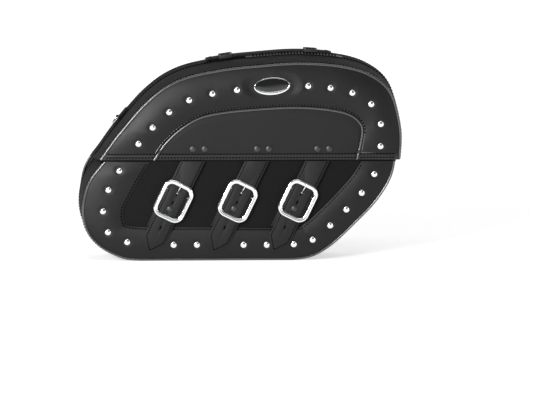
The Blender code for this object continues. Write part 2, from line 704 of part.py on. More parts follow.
def make_buckle(i, hinge):
    """The frame lies over the strap, and its heel bar runs behind the strap between two lugs."""
    wide, thick = BUCKLE_BAR

    def frame_loop(inset, height):
        outline = rounded_rectangle(
            BUCKLE_WIDTH - 2 * inset, BUCKLE_LENGTH - 2 * inset, max(BUCKLE_CORNER - inset, BUCKLE_CORNER / 4)
        )
        return [Vector((x, level(FRAME_LIFT + height), z - BUCKLE_MIDDLE)) for x, z in outline]

    profile = (
        (0.0, thick * 0.3), (0.0, thick * 0.6), (wide * 0.2, thick), (wide * 0.75, thick),
        (wide, thick * 0.65), (wide, thick * 0.2), (wide * 0.8, 0.0), (wide * 0.15, 0.0),
    )
    frame = node(f"buckle_{i}", skinned([frame_loop(*p) for p in profile], closed=True), CHROME, hinge)
    heel = -(BUCKLE_MIDDLE - BUCKLE_LENGTH / 2 + wide / 2 + HEEL_BAR_OFFSET)
    depth = level(-STRAP - GAP) + PRONG_EYE[1]
    reach = BUCKLE_WIDTH / 2 - wide * 0.25
    inner = BUCKLE_WIDTH / 2 - wide + MM
    for side in (-1, 1):
        low = (min(side * inner, side * reach), level(FRAME_LIFT + thick / 2), heel - LUG[0] / 2)
        high = (max(side * inner, side * reach), depth + LUG[1], heel + LUG[0] / 2)
        boolean(frame, node(f"buckle_lug_{i}_{side + 2}", box(low, high), CHROME, hinge), "UNION")
    bar = cylinder(HEEL_BAR_RADIUS, (-inner - MM, depth, heel), (inner + MM, depth, heel), 12)
    boolean(frame, node(f"heel_bar_{i}", bar, CHROME, hinge), "UNION")
    return Vector((0.0, depth, heel))


def make_prong(i, eye):
    """The prong turns on the heel bar, comes up through the strap's first slot and lies on the top bar."""
    over = level(FRAME_LIFT + BUCKLE_BAR[1] + GAP + PRONG_RADIUS) - eye.location.y
    bend = Vector((0.0, over, PRONG_RISE))
    points = [
        bend.normalized() * sum(PRONG_EYE) / 2,
        bend * 0.9,
        bend + Vector((0.0, 0.0, PRONG_RADIUS)),
        Vector((0.0, over, HEEL_BAR_OFFSET + PRONG_LAP)),
    ]
    rings = []
    for k, p in enumerate(points):
        along = (points[min(k + 1, 3)] - points[max(k - 1, 0)]).normalized()
        side = Vector((0.0, along.z, -along.y))
        turns = [2 * math.pi * j / 10 for j in range(10)]
        rings.append([p + (Vector((1, 0, 0)) * math.cos(t) + side * math.sin(t)) * PRONG_RADIUS for t in turns])
    shaft = node(f"prong_{i}", skinned(rings), CHROME, eye)
    half = PRONG_EYE_WIDTH / 2
    collar = cylinder(PRONG_EYE[1], (-half, 0, 0), (half, 0, 0), 16)
    boolean(shaft, node(f"prong_collar_{i}", collar, CHROME, eye), "UNION")
    bore = cylinder(PRONG_EYE[0], (-2 * half, 0, 0), (2 * half, 0, 0), 16)
    boolean(shaft, node(f"prong_bore_{i}", bore, CHROME, eye), "DIFFERENCE")


def make_snap_base(i, x):
    """The leather tab on the body's front and the snap's stud on it."""
    lean, upright = math.sin(STRAP_SLANT), math.cos(STRAP_SLANT)
    half = STRAP_WIDTH / 2
    start = Vector((x, SEAM)) - Vector((lean, upright)) * TAB_START
    across = Vector((upright, -lean))
    left, right = start - across * (half + TAB_SHIFT), start + across * (half - TAB_SHIFT)
    foot = BASE + WINDOW[WINDOW_FLOOR][1] * SEAM_HEIGHT + TAB_LIFT
    down = Vector((-lean / upright, -1.0))
    corners = [left, right, right + down * (right.y - foot), left + down * (left.y - foot)]
    node(f"snap_tab_{i}", prism(corners, PANEL_FACE - GAP, PANEL_FACE - GAP - SKIN), LEATHER, smooth=False)
    centre = Vector((x, SEAM)) - Vector((lean, upright)) * SNAP_PLACE
    seat = PANEL_FACE - 2 * GAP - SKIN
    top = STRAP_REAR + SNAP_SOCKET_FLOOR + 2 * GAP
    flange, foot_face = SNAP_FLANGE[0], seat - SNAP_FLANGE[1]
    edge = (SNAP_POST_RADIUS - SNAP_NECK, 0.0005)
    profile = [
        (0.0, seat),
        (flange, seat),
        (flange, foot_face),
        (SNAP_NECK, foot_face),
        (SNAP_NECK, foot_face - edge[1]),
        (SNAP_POST_RADIUS, foot_face - 2 * edge[1]),
        (SNAP_POST_RADIUS, top + edge[1]),
        (SNAP_POST_RADIUS - edge[0], top),
        (0.0, top),
    ]
    stud = turned(profile, 16)
    node(f"snap_stud_{i}", moved(stud, (centre.x, 0, centre.y)), BLACK_METAL)


def make_straps(lid):
    for k, x in enumerate(strap_places()):
        i = k + 1
        place = Vector((x, STRAP_MIDDLE, SEAM - STRAP_HINGE_GAP / 2))
        hinge = axis(f"strap_hinge_{i}", place - lid.location, STRAP_SLANT, lid)
        make_strap(i, hinge)
        make_snap_cap(i, hinge)
        eye = axis(f"prong_eye_{i}", make_buckle(i, hinge), 0.0, hinge)
        make_prong(i, eye)
        make_snap_base(i, x)


# ---------------------------------------------------------------- handle and D-ring
def hoop_seat(name, share_of, clockwise=True):
    """An empty on the rear hoop's outside, at the first outline stretch that share_of accepts.

    Its +X lies along the outline, clockwise seen from the front, or anticlockwise. Its +Z leaves the leather.
    """
    here = ring(LID_OVERHANG, HANDLE_MIDDLE)
    behind = ring(LID_OVERHANG, HANDLE_MIDDLE + MM)
    for i in range(len(here)):
        share = share_of(here[i - 1], here[i])
        if share is None:
            continue
        place = here[i - 1].lerp(here[i], share)
        along = (here[i - 1] - here[i]) if clockwise else (here[i] - here[i - 1])
        depth = behind[i - 1].lerp(behind[i], share) - place
        out = along.cross(depth).normalized() * (1 if clockwise else -1)
        along.normalize()
        seat = axis(name, place)
        seat.rotation_euler = Matrix((along, out.cross(along), out)).transposed().to_euler()
        return seat
    raise ValueError("the hoop doesn't reach there")


def on_top(x):
    """Picks the stretch of the outline over x."""

    def share_of(a, b):
        return (a.x - x) / (a.x - b.x) if min(a.z, b.z) > SEAM and b.x <= x < a.x else None

    return share_of


def on_left(height):
    """Picks the stretch of the outline on the left at a height above the base."""

    def share_of(a, b):
        return (a.z - height - BASE) / (a.z - b.z) if b.x < 0 and b.z <= height + BASE < a.z else None

    return share_of


def make_slider(i, x):
    """A moulded slider: two side rails, a bar at each end over the webbing and one under its middle."""
    seat = hoop_seat(f"slider_seat_{i}", on_top(x))
    outer = SLIDER_HALF_WIDTH
    inner = outer - SLIDER_RAIL
    under, over = HANDLE_GAP - SLIDER_PLAY, HANDLE_GAP + HANDLE_STRAP + SLIDER_PLAY
    low, high = under - SLIDER_BAR, over + SLIDER_BAR
    reach = SLIDER_LENGTH / 2
    slider = node(f"handle_slider_{i}", box((-reach, inner, low), (reach, outer, high)), MOULDED, seat)
    stock = [
        box((-reach, -outer, low), (reach, -inner, high)),
        box((-2 * SLIDER_BAR, -inner - MM, low), (2 * SLIDER_BAR, inner + MM, under)),
        box((-reach, -inner - MM, over), (-reach + SLIDER_RAIL * 1.6, inner + MM, high)),
        box((reach - SLIDER_RAIL * 1.6, -inner - MM, over), (reach, inner + MM, high)),
    ]
    for k, bm in enumerate(stock):
        boolean(slider, node(f"slider_bar_{i}_{k + 1}", bm, MOULDED, seat), "UNION")


def make_handle():
    near, far = HANDLE_MIDDLE - HANDLE_WIDTH / 2, HANDLE_MIDDLE + HANDLE_WIDTH / 2
    strap = band(LID_OVERHANG + HANDLE_GAP + HANDLE_STRAP, LID_OVERHANG + HANDLE_GAP, near, far)
    cropped(strap, (HANDLE_SPAN[0], 0, 0), (1, 0, 0))
    cropped(strap, (HANDLE_SPAN[1], 0, 0), (-1, 0, 0))
    strap = node("handle_webbing", cropped(strap, (0, 0, 0), (0, 0, 1)), WEBBING)
    hoop = bpy.data.objects["rear_hoop"]
    for i, x in enumerate(SLIDER_PLACES):
        make_slider(i + 1, x)
    for i, x in enumerate((HANDLE_SPAN[0] + HANDLE_RIVET_INSET, HANDLE_SPAN[1] - HANDLE_RIVET_INSET)):
        seat = hoop_seat(f"handle_rivet_seat_{i + 1}", on_top(x))
        top = HANDLE_GAP + HANDLE_STRAP + 2 * GAP
        inside = WALL + 2 * GAP
        shank, head = RIVET_SHANK, HANDLE_RIVET_RADIUS
        profile = [(0.0, inside + MM), (head, inside + MM), (head, inside), (shank, inside), (shank, -top)]
        rivet = turned(profile + dome(head, -top, HANDLE_RIVET_RISE))
        bmesh.ops.rotate(rivet, verts=rivet.verts, cent=(0, 0, 0), matrix=Matrix.Rotation(-math.pi / 2, 3, "X"))
        node(f"handle_rivet_{i + 1}", rivet, BLACK_METAL, seat)
        drill = cylinder(shank + 2 * GAP, (0, 0, -2 * WALL), (0, 0, top + 2 * MM), 12)
        drill = node(f"handle_hole_{i + 1}", drill, STEEL, seat)
        boolean(strap, drill, "DIFFERENCE")
        boolean(hoop, drill, "DIFFERENCE")


def make_ring():
    """The D-ring on the hoop's left slope. Its frame has +X down the slope and +Z away from the leather."""
    seat = hoop_seat("ring_seat", on_left(RING_HEIGHT), clockwise=False)
    bore = RING_WIRE + RING_PLAY
    wrap = bore + RING_TAB
    rise = 2 * GAP + wrap
    pivot = axis("ring_pivot", (0, 0, rise), 0.0, seat)
    half = RING_WIDTH / 2
    bend = [math.pi * (k / 8 - 0.5) for k in range(9)]
    wire = [Vector((RING_REACH - half + half * math.cos(a), half * math.sin(a), 0.0)) for a in bend]
    tube("d_ring", [Vector((0, -half, 0))] + wire + [Vector((0, half, 0))], RING_WIRE, CHROME, True, pivot, 2)
    side = RING_TAB_WIDTH / 2
    tab = node("ring_tab", cylinder(wrap, (0, -side, rise), (0, side, rise), 16), WEBBING, seat)
    tail = box((-RING_TAB_LENGTH, -side, 2 * GAP), (0.0, side, 2 * GAP + 2 * RING_TAB))
    boolean(tab, node("ring_tab_tail", tail, WEBBING, seat), "UNION")
    hole = cylinder(bore, (0, -2 * side, rise), (0, 2 * side, rise), 16)
    boolean(tab, node("ring_tab_bore", hole, WEBBING, seat), "DIFFERENCE")


def main():
    for found in list(bpy.data.objects):
        bpy.data.objects.remove(found)
    make_back()
    make_walls()
    make_front()
    lid = axis("lid_hinge", hinge_line())
    board, foam, panel = make_lid(lid)
    make_hinge(lid)
    make_badge(lid)
    make_strap_roots(lid, board, foam, panel)
    make_straps(lid)
    make_handle()
    make_ring()


main()
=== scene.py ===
"""Looks of a slanted motorcycle saddlebag: stitched leather, piping, chrome studs, straps and buckles.

Lengths are in metres. The bag faces -Y. The CAD model's frame gives the planes that the pieces lie on.
"""

import json
import math

import bmesh
import bpy
from mathutils import Matrix, Vector
from mathutils.bvhtree import BVHTree


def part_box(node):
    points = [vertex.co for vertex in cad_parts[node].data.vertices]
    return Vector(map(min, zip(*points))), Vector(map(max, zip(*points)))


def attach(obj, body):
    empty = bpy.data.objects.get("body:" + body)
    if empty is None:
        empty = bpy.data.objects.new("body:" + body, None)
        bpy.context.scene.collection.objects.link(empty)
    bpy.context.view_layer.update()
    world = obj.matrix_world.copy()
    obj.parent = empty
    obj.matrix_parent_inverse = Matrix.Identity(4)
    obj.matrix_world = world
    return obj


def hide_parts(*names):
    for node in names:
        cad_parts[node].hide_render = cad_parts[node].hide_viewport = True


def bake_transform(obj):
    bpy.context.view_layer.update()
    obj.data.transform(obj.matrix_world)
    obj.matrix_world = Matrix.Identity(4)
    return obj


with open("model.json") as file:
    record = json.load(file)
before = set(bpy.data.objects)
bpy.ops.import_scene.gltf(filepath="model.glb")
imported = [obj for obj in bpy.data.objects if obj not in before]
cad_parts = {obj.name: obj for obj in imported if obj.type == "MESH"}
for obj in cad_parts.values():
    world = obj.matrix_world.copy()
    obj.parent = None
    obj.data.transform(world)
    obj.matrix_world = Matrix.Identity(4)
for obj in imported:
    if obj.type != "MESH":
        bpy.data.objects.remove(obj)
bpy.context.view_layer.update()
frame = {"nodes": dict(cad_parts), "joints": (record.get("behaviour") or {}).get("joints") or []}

# ---- Studio: a pale floor that curves up into a backdrop, soft light from the upper left, and the camera
# low at the bag's front, a little to its left.
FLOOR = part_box("gusset")[0].z
STUDIO_WIDTH = 9.0
STUDIO_FRONT = -7.0
STUDIO_REAR = 3.2
STUDIO_TOP = 3.0  # of the backdrop above its curve
STUDIO_SWEEP = 1.2
VIEW_AZIMUTH = math.radians(-2.75)
VIEW_ELEVATION = math.radians(4.75)
VIEW_DISTANCE = 4.5
VIEW_CENTRE = Vector((0.050, -0.160, -0.099))
VIEW_LENS = 162.5


class Wire:
    """A shader socket that takes part in plain arithmetic."""

    def __init__(self, finish, socket):
        self.finish = finish
        self.socket = socket

    def __add__(self, other):
        return self.finish.node("ShaderNodeMath", {"operation": "ADD"}, {0: self, 1: other})

    def __sub__(self, other):
        return self.finish.node("ShaderNodeMath", {"operation": "SUBTRACT"}, {0: self, 1: other})

    def __mul__(self, other):
        return self.finish.node("ShaderNodeMath", {"operation": "MULTIPLY"}, {0: self, 1: other})

    __radd__ = __add__
    __rmul__ = __mul__


class Finish:
    """A material that is built up from nodes. Constants sit on the shader's own sockets."""

    def __init__(self, name, constants):
        self.material = bpy.data.materials.new(name)
        self.material.use_nodes = True
        self.shader = self.material.node_tree.nodes["Principled BSDF"]
        for socket, value in constants.items():
            self.shader.inputs[socket].default_value = value

    def node(self, kind, settings, inputs, output=0):
        made = self.material.node_tree.nodes.new(kind)
        for key, value in settings.items():
            if key == "stops":
                self.set_stops(made.color_ramp, value)
            else:
                setattr(made, key, value)
        for socket, value in inputs.items():
            self.feed(made.inputs[socket], value)
        return Wire(self, made.outputs[output])

    def set_stops(self, ramp, stops):
        while len(ramp.elements) < len(stops):
            ramp.elements.new(0.5)
        for element, (place, value) in zip(ramp.elements, stops):
            element.position = place
            element.color = (value, value, value, 1.0)

    def feed(self, socket, value):
        if isinstance(value, Wire):
            self.material.node_tree.links.new(value.socket, socket)
        else:
            socket.default_value = value

    def surface(self, name, value):
        self.feed(self.shader.inputs[name], value)

    def place(self):
        return self.node("ShaderNodeTexCoord", {}, {}, "Object")

    def noise(self, place, scale, detail=3.0):
        return self.node("ShaderNodeTexNoise", {}, {"Vector": place, "Scale": scale, "Detail": detail}, "Fac")

    def mix(self, share, first, second):
        ends = {6: (*first, 1.0), 7: (*second, 1.0)}
        return self.node("ShaderNodeMix", {"data_type": "RGBA"}, {0: share, **ends}, 2)

    def ramp(self, value, stops):
        return self.node("ShaderNodeValToRGB", {"stops": stops}, {"Fac": value})

    def bump(self, height, distance, strength=1.0):
        inputs = {"Height": height, "Distance": distance, "Strength": strength}
        self.feed(self.shader.inputs["Normal"], self.node("ShaderNodeBump", {}, inputs))


def studio_floor():
    finish = Finish("studio_paper", {"Roughness": 0.9, "Specular IOR Level": 0.1, "Emission Strength": 0.60})
    finish.shader.inputs["Emission Color"].default_value = (1.0, 1.0, 1.0, 1.0)
    grain = finish.noise(finish.place(), 240.0)
    finish.surface("Base Color", finish.mix(grain, (0.84, 0.84, 0.84), (0.88, 0.88, 0.88)))
    bm = bmesh.new()
    row = [bm.verts.new((x, STUDIO_FRONT, FLOOR)) for x in (-STUDIO_WIDTH / 2, STUDIO_WIDTH / 2)]
    edge = bm.edges.new(row)
    steps = [Vector((0, STUDIO_REAR - STUDIO_FRONT, 0))]
    for k in range(12):
        turn = math.pi / 2 * (k + 0.5) / 12
        steps.append(Vector((0, math.cos(turn), math.sin(turn))) * STUDIO_SWEEP * math.pi / 24)
    steps.append(Vector((0, 0, STUDIO_TOP)))
    for step in steps:
        grown = bmesh.ops.extrude_edge_only(bm, edges=[edge])["geom"]
        corners = [v for v in grown if isinstance(v, bmesh.types.BMVert)]
        bmesh.ops.translate(bm, verts=corners, vec=step)
        edges = [e for e in grown if isinstance(e, bmesh.types.BMEdge)]
        edge = next(e for e in edges if e.is_boundary and all(v in corners for v in e.verts))
    mesh = bpy.data.meshes.new("studio_floor")
    bm.to_mesh(mesh)
    bm.free()
    mesh.materials.append(finish.material)
    mesh.shade_smooth()
    made = bpy.data.objects.new("studio_floor", mesh)
    bpy.context.scene.collection.objects.link(made)


def studio_light(name, place, size, power):
    light = bpy.data.lights.new(name, "AREA")
    light.shape = "RECTANGLE"
    light.size, light.size_y = size
    light.energy = power
    made = bpy.data.objects.new(name, light)
    bpy.context.scene.collection.objects.link(made)
    made.location = place
    made.rotation_mode = "QUATERNION"
    made.rotation_quaternion = (VIEW_CENTRE - Vector(place)).to_track_quat("-Z", "Y")


studio_floor()
studio_light("key_light", (-1.45, -3.25, 0.90), (0.8, 0.8), 100)
studio_light("top_light", (0.2, -1.9, 2.9), (2.6, 0.6), 16)
studio_light("right_light", (2.9, -2.6, 0.6), (0.4, 1.6), 12)
world = bpy.data.worlds.new("studio_air")
bpy.context.scene.world = world
world.use_nodes = True
world.node_tree.nodes["Background"].inputs["Color"].default_value = (1.0, 1.0, 1.0, 1.0)
world.node_tree.nodes["Background"].inputs["Strength"].default_value = 0.24
bpy.context.scene.view_settings.view_transform = "Standard"

camera = bpy.data.objects.new("camera", bpy.data.cameras.new("camera"))
bpy.context.scene.collection.objects.link(camera)
camera.data.lens = VIEW_LENS
back = Vector((
    math.sin(VIEW_AZIMUTH) * math.cos(VIEW_ELEVATION),
    -math.cos(VIEW_AZIMUTH) * math.cos(VIEW_ELEVATION),
    math.sin(VIEW_ELEVATION),
))
camera.location = VIEW_CENTRE + back * VIEW_DISTANCE
camera.rotation_mode = "QUATERNION"
camera.rotation_quaternion = (-back).to_track_quat("-Z", "Y")
camera.data.clip_end = 60.0
bpy.context.scene.camera = camera

# ---- Gusset: the wall round the bottom and both ends, synthetic leather over a plastic stiffener, lined
# inside and sewn to the back and the front. Its upper part stands inside the lid as a lip.
BAG_LENGTH = 0.588
BAG_HEIGHT = 0.362
FLARE = 0.020
FRONT_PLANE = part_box("front_board")[0].y
LID_OVERHANG = 0.0095
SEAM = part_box("lid_band")[0].z
LIP_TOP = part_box("gusset")[1].z
WALL_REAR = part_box("gusset")[1].y
WALL = 0.0035
WALL_CROWN = 0.0008
WALL_SEAM = 0.0055  # of a stitch row from the edge of its wall
SUNK = 0.0004  # of a wall's stitches below the highest part of its crown
ROW_END = 0.004  # of a stitch row from the cut edge that it runs up to
OUTLINE = (
    (0.170, 0.000), (0.272, 0.050), (0.381, 0.207), (0.446, 0.323), (0.487, 0.440), (0.498, 0.552),
    (0.498, 0.690), (0.469, 0.858), (0.407, 0.944), (0.316, 0.986), (0.190, 1.000), (0.065, 0.987),
    (-0.062, 0.964), (-0.186, 0.915), (-0.278, 0.817), (-0.372, 0.646), (-0.429, 0.521), (-0.478, 0.417),
    (-0.500, 0.298), (-0.495, 0.185), (-0.461, 0.094), (-0.398, 0.028), (-0.318, 0.000), (-0.070, 0.000),
)
STITCH = (0.0060, 0.0031, 0.00115)  # pitch, length and radius of a stitch


def spline(points, steps, closed):
    """Points on a smooth curve through the given ones, steps of them for each stretch."""
    count = len(points)
    found = []
    for i in range(count if closed else count - 1):
        around = [i - 1, i, i + 1, i + 2]
        if closed:
            a, b, c, d = (Vector(points[k % count]) for k in around)
        else:
            a, b, c, d = (Vector(points[min(max(k, 0), count - 1)]) for k in around)
        for k in range(steps):
            t = k / steps
            second, third = 2 * a - 5 * b + 4 * c - d, 3 * b - a - 3 * c + d
            found.append(0.5 * (2 * b + (c - a) * t + second * t * t + third * t**3))
    return found if closed else found + [Vector(points[-1])]


def outline_stations():
    """(point, outward normal) round the body's front outline, in X and Z."""
    curve = spline([(u * BAG_LENGTH, v * BAG_HEIGHT) for u, v in OUTLINE], 8, True)
    curve = [Vector((p.x, max(p.y, 0.0) + FLOOR)) for p in curve]
    found = []
    for i, p in enumerate(curve):
        along = curve[(i + 1) % len(curve)] - curve[i - 1]
        found.append((p, Vector((along.y, -along.x)).normalized()))
    return found


STATIONS = outline_stations()


def ring(offset, y):
    """The bag's outline, offset outwards by a length, at depth y. The walls flare to the back at the top."""
    found = []
    for p, n in STATIONS:
        q = p + n * (offset + FLARE * (1 - y / FRONT_PLANE) * (1 + n.y) / 2)
        found.append(Vector((q.x, y, q.y)))
    return found


def skin(loops, closed):
    """A skin over loops of equal count: a closed tube, or a body with flat ends."""
    bm = bmesh.new()
    rows = [[bm.verts.new(p) for p in points] for points in loops]
    for near, far in list(zip(rows, rows[1:])) + ([(rows[-1], rows[0])] if closed else []):
        for i in range(len(near)):
            bm.faces.new((near[i - 1], near[i], far[i], far[i - 1]))
    if not closed:
        bm.faces.new(rows[0])
        bm.faces.new(reversed(rows[-1]))
    return bm


def cropped(bm, point, keep):
    """Cuts the solid with a plane through point, keeps the side that keep points to, and closes the cut."""
    everything = bm.verts[:] + bm.edges[:] + bm.faces[:]
    bmesh.ops.bisect_plane(bm, geom=everything, plane_co=point, plane_no=-Vector(keep), clear_outer=True)
    bmesh.ops.holes_fill(bm, edges=[e for e in bm.edges if len(e.link_faces) == 1], sides=0)
    return bm


def wall_section(outer, inner, front, rear, crown, corner=0.0012, steps=9):
    """(offset, y) points round a wall's cross-section: a crowned outer side and rounded outer corners."""
    found = []
    for k in range(steps + 1):
        share = k / steps
        bulge = crown * math.sin(math.pi * share)
        found.append((outer + bulge - crown, front + corner + (rear - front - 2 * corner) * share))
    turns = [math.pi / 2 * k / 3 for k in (1, 2, 3)]
    corners = {}
    for side, (offset, y) in ((-1, found[0]), (1, found[-1])):
        corners[side] = [
            (offset - corner * (1 - math.cos(a)), y + side * corner * math.sin(a)) for a in turns
        ]
    return corners[-1][::-1] + found + corners[1] + [(inner, rear), (inner, front)]


def wall_band(section):
    return skin([ring(offset, y) for offset, y in section], True)


def finished(name, bm, finishes, body, replaces=(), sharp=40.0):
    """Turns a bmesh into a piece that rides on a body and stands for CAD nodes."""
    bmesh.ops.recalc_face_normals(bm, faces=bm.faces)
    mesh = bpy.data.meshes.new(name)
    bm.to_mesh(mesh)
    bm.free()
    mesh.shade_smooth()
    mesh.set_sharp_from_angle(angle=math.radians(sharp))
    for finish in finishes if isinstance(finishes, (list, tuple)) else [finishes]:
        mesh.materials.append(finish.material)
    made = bpy.data.objects.new(name, mesh)
    bpy.context.scene.collection.objects.link(made)
    if body:
        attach(made, body)
    if replaces:
        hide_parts(*replaces)
    return made


def leather(name, dark, light, roughness, grain=1.0, pebble=760.0, sheen=0.34):
    """Synthetic leather: a pebbled grain, slow changes of colour and sheen, and edges rubbed lighter."""
    finish = Finish(name, {"Specular IOR Level": sheen})
    place = finish.place()
    cells = finish.node(
        "ShaderNodeTexVoronoi", {"feature": "DISTANCE_TO_EDGE"}, {"Vector": place, "Scale": pebble},
        "Distance",
    )
    valley = finish.ramp(cells, ((0.0, 0.0), (0.16, 1.0)))
    pores = finish.noise(place, pebble * 3.1, 2.0)
    grit = finish.noise(place, pebble * 0.62, 2.0)
    broad = finish.noise(place, 11.0, 4.0)
    rubbed = finish.node("ShaderNodeNewGeometry", {}, {}, "Pointiness")
    rubbed = finish.ramp(rubbed, ((0.52, 0.0), (0.62, 1.0)))
    share = broad * 0.55 + valley * 0.12 + grit * 0.45 + rubbed * 0.35 - 0.12
    finish.surface("Base Color", finish.mix(share, dark, light))
    finish.surface("Roughness", broad * 0.16 + (roughness - 0.06) - valley * 0.05)
    finish.bump(valley * 0.5 + pores * 0.3 + grit * 1.6 + broad * 1.2, 0.00016 * grain, 0.6)
    return finish


def lining(name, colour):
    """Brushed lining cloth: short fibres and soft blotches."""
    finish = Finish(name, {"Roughness": 0.95, "Specular IOR Level": 0.15})
    place = finish.place()
    fibres = finish.noise(place, 1900.0, 4.0)
    blotch = finish.noise(place, 60.0)
    lighter = tuple(c * 2.2 for c in colour)
    finish.surface("Base Color", finish.mix(fibres * 0.6 + blotch * 0.4, colour, lighter))
    finish.bump(fibres, 0.0004, 0.7)
    return finish


def thread(name, colour):
    """Twisted waxed thread."""
    finish = Finish(name, {"Roughness": 0.9, "Specular IOR Level": 0.0})
    twist = finish.noise(finish.place(), 3200.0, 1.0)
    finish.surface("Base Color", finish.mix(twist, colour, tuple(c * 1.8 for c in colour)))
    finish.bump(twist, 0.0002, 0.6)
    return finish


def spaced(points, pitch):
    """Points along a line of points, at equal steps close to pitch, ends included."""
    lengths = [0.0]
    for a, b in zip(points, points[1:]):
        lengths.append(lengths[-1] + (b - a).length)
    count = max(1, round(lengths[-1] / pitch))
    found, k = [], 0
    for i in range(count + 1):
        want = lengths[-1] * i / count
        while k < len(points) - 2 and lengths[k + 1] < want:
            k += 1
        stretch = lengths[k + 1] - lengths[k]
        found.append(points[k].lerp(points[k + 1], (want - lengths[k]) / stretch if stretch else 0.0))
    return found


def sewn(name, frames, finish, body, size=STITCH):
    """A row of stitches over (point, outward direction) frames, each a short length of thread on the skin."""
    pitch, length, radius = size
    places = spaced([Vector(p) for p, _ in frames], pitch)
    bm = bmesh.new()
    k = 0
    for a, b in zip(places, places[1:]):
        middle = (a + b) / 2
        while k < len(frames) - 1 and (frames[k + 1][0] - middle).length < (frames[k][0] - middle).length:
            k += 1
        out = Vector(frames[k][1])
        along = (b - a).normalized()
        side = out.cross(along).normalized()
        turn = Matrix((side, along.cross(side), along)).transposed().to_4x4()
        seat = Matrix.Translation(middle + out * radius * 0.35)
        bmesh.ops.create_cone(
            bm, cap_ends=True, segments=8, radius1=radius, radius2=radius, depth=length, matrix=seat @ turn
        )
    return finished(name, bm, finish, body, sharp=80.0)


def wall_frames(offset, y, lowest, highest):
    """Runs of (point, outward direction) frames on a wall at one depth, between two heights."""
    here = ring(offset, y)
    count = len(here)
    inside = [lowest <= p.z <= highest for p in here]
    first = next(i for i in range(count) if inside[i] and not inside[i - 1])
    runs, i = [], 0
    while i < count:
        k = (first + i) % count
        if inside[k]:
            run = []
            while i < count and inside[(first + i) % count]:
                k = (first + i) % count
                run.append((here[k], Vector((STATIONS[k][1].x, 0.0, STATIONS[k][1].y))))
                i += 1
            runs.append(run)
        else:
            i += 1
    return runs


WALL_LEATHER = leather("wall_leather", (0.0045, 0.0045, 0.0046), (0.0120, 0.0120, 0.0122), 0.64, sheen=0.024)
INNER_LINING = lining("inner_lining", (0.020, 0.020, 0.021))
BLACK_THREAD = thread("black_thread", (0.0007, 0.0007, 0.0008))


def lined_wall(name, outer, front, rear, keep_above, keep_below, body, node):
    """A wall whose inner side, the last stretch of its section, carries the lining."""
    section = wall_section(outer, outer - WALL, front, rear, WALL_CROWN)
    bm = wall_band(section)
    bm.faces.ensure_lookup_table()
    inner = (len(section) - 2) * len(STATIONS)
    for face in bm.faces[inner:inner + len(STATIONS)]:
        face.material_index = 1
    if keep_above is not None:
        cropped(bm, (0, 0, keep_above), (0, 0, 1))
    if keep_below is not None:
        cropped(bm, (0, 0, keep_below), (0, 0, -1))
    return finished(name, bm, (WALL_LEATHER, INNER_LINING), body, (node,))


lined_wall("gusset_wall", 0.0, FRONT_PLANE, WALL_REAR, None, LIP_TOP, "bag", "gusset")
for side, y in (("front", FRONT_PLANE + WALL_SEAM), ("rear", WALL_REAR - WALL_SEAM)):
    for k, run in enumerate(wall_frames(-SUNK, y, -1.0, LIP_TOP - ROW_END)):
        sewn(f"gusset_{side}_stitches_{k + 1}", run, BLACK_THREAD, "bag")

# ---- Rear hoop: the fixed rim behind the lid, of the same leather-covered wall. The handle and the hinge
# are fixed to it.
HOOP_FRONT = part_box("rear_hoop")[0].y
lined_wall("hoop_wall", LID_OVERHANG, HOOP_FRONT, WALL_REAR, SEAM, None, "bag", "rear_hoop")
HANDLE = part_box("handle_webbing")
BESIDE_HANDLE = 0.012
hoop_row = wall_frames(LID_OVERHANG - SUNK, WALL_REAR - WALL_SEAM, SEAM + ROW_END, 1.0)[0]
for name, side, reach in (("left", -1, -HANDLE[0].x), ("right", 1, HANDLE[1].x)):
    clear_of_handle = [f for f in hoop_row if f[0].x * side > reach + BESIDE_HANDLE]
    sewn(f"hoop_stitches_{name}", clear_of_handle, BLACK_THREAD, "bag")

# ---- Back: a plastic board under a leather cover whose edge is sewn, with piping between it and the walls
# and four zinc-plated threaded inserts that take the mounting bolts.


def cad_copy(node, bevel, segments, angle=50.0):
    """A merged copy of a CAD node's mesh, its sharp edges rounded."""
    bm = bmesh.new()
    bm.from_mesh(frame["nodes"][node].data)
    bmesh.ops.remove_doubles(bm, verts=bm.verts, dist=1e-6)
    bmesh.ops.dissolve_limit(bm, angle_limit=math.radians(1.0), verts=bm.verts, edges=bm.edges)
    if bevel:
        sharp = [e for e in bm.edges if len(e.link_faces) == 2 and e.calc_face_angle() > math.radians(angle)]
        bmesh.ops.bevel(
            bm, geom=sharp, offset=bevel, offset_type="OFFSET", affect="EDGES", segments=segments,
            profile=0.5, material=-1, clamp_overlap=True,
        )
    return bm


def from_cad(name, node, finish, body, bevel=0.0, segments=2, sharp=40.0):
    """A piece that keeps a CAD node's own shape, with its sharp edges rounded."""
    finished(name, cad_copy(node, bevel, segments), finish, body, (node,), sharp)


def back_ring(inset, y):
    """The back's outline: the lid's above the lid's lower edge, and the body's well below it."""
    found = []
    for p, n in STATIONS:
        t = min(max((p.y - SEAM + 0.07) / 0.07, 0.0), 1.0)
        flare = FLARE * (1 - y / FRONT_PLANE) * (1 + n.y) / 2
        q = p + n * (LID_OVERHANG * t * t * (3 - 2 * t) - inset + flare)
        found.append(Vector((q.x, y, q.y)))
    return found


def piping(name, points, radius, closed, body, node, finish):
    """A cord covered in thin glossy vinyl, through points."""
    loops = []
    count = len(points)
    for i, p in enumerate(points):
        before = points[i - 1] if closed or i else p
        after = points[(i + 1) % count] if closed or i < count - 1 else p
        along = (after - before).normalized()
        side = along.cross(Vector((0, 1, 0))).normalized()
        over = side.cross(along)
        turns = [2 * math.pi * k / 12 for k in range(12)]
        loops.append([p + (side * math.cos(a) + over * math.sin(a)) * radius for a in turns])
    return finished(name, skin(loops, closed), finish, body, (node,) if node else ())


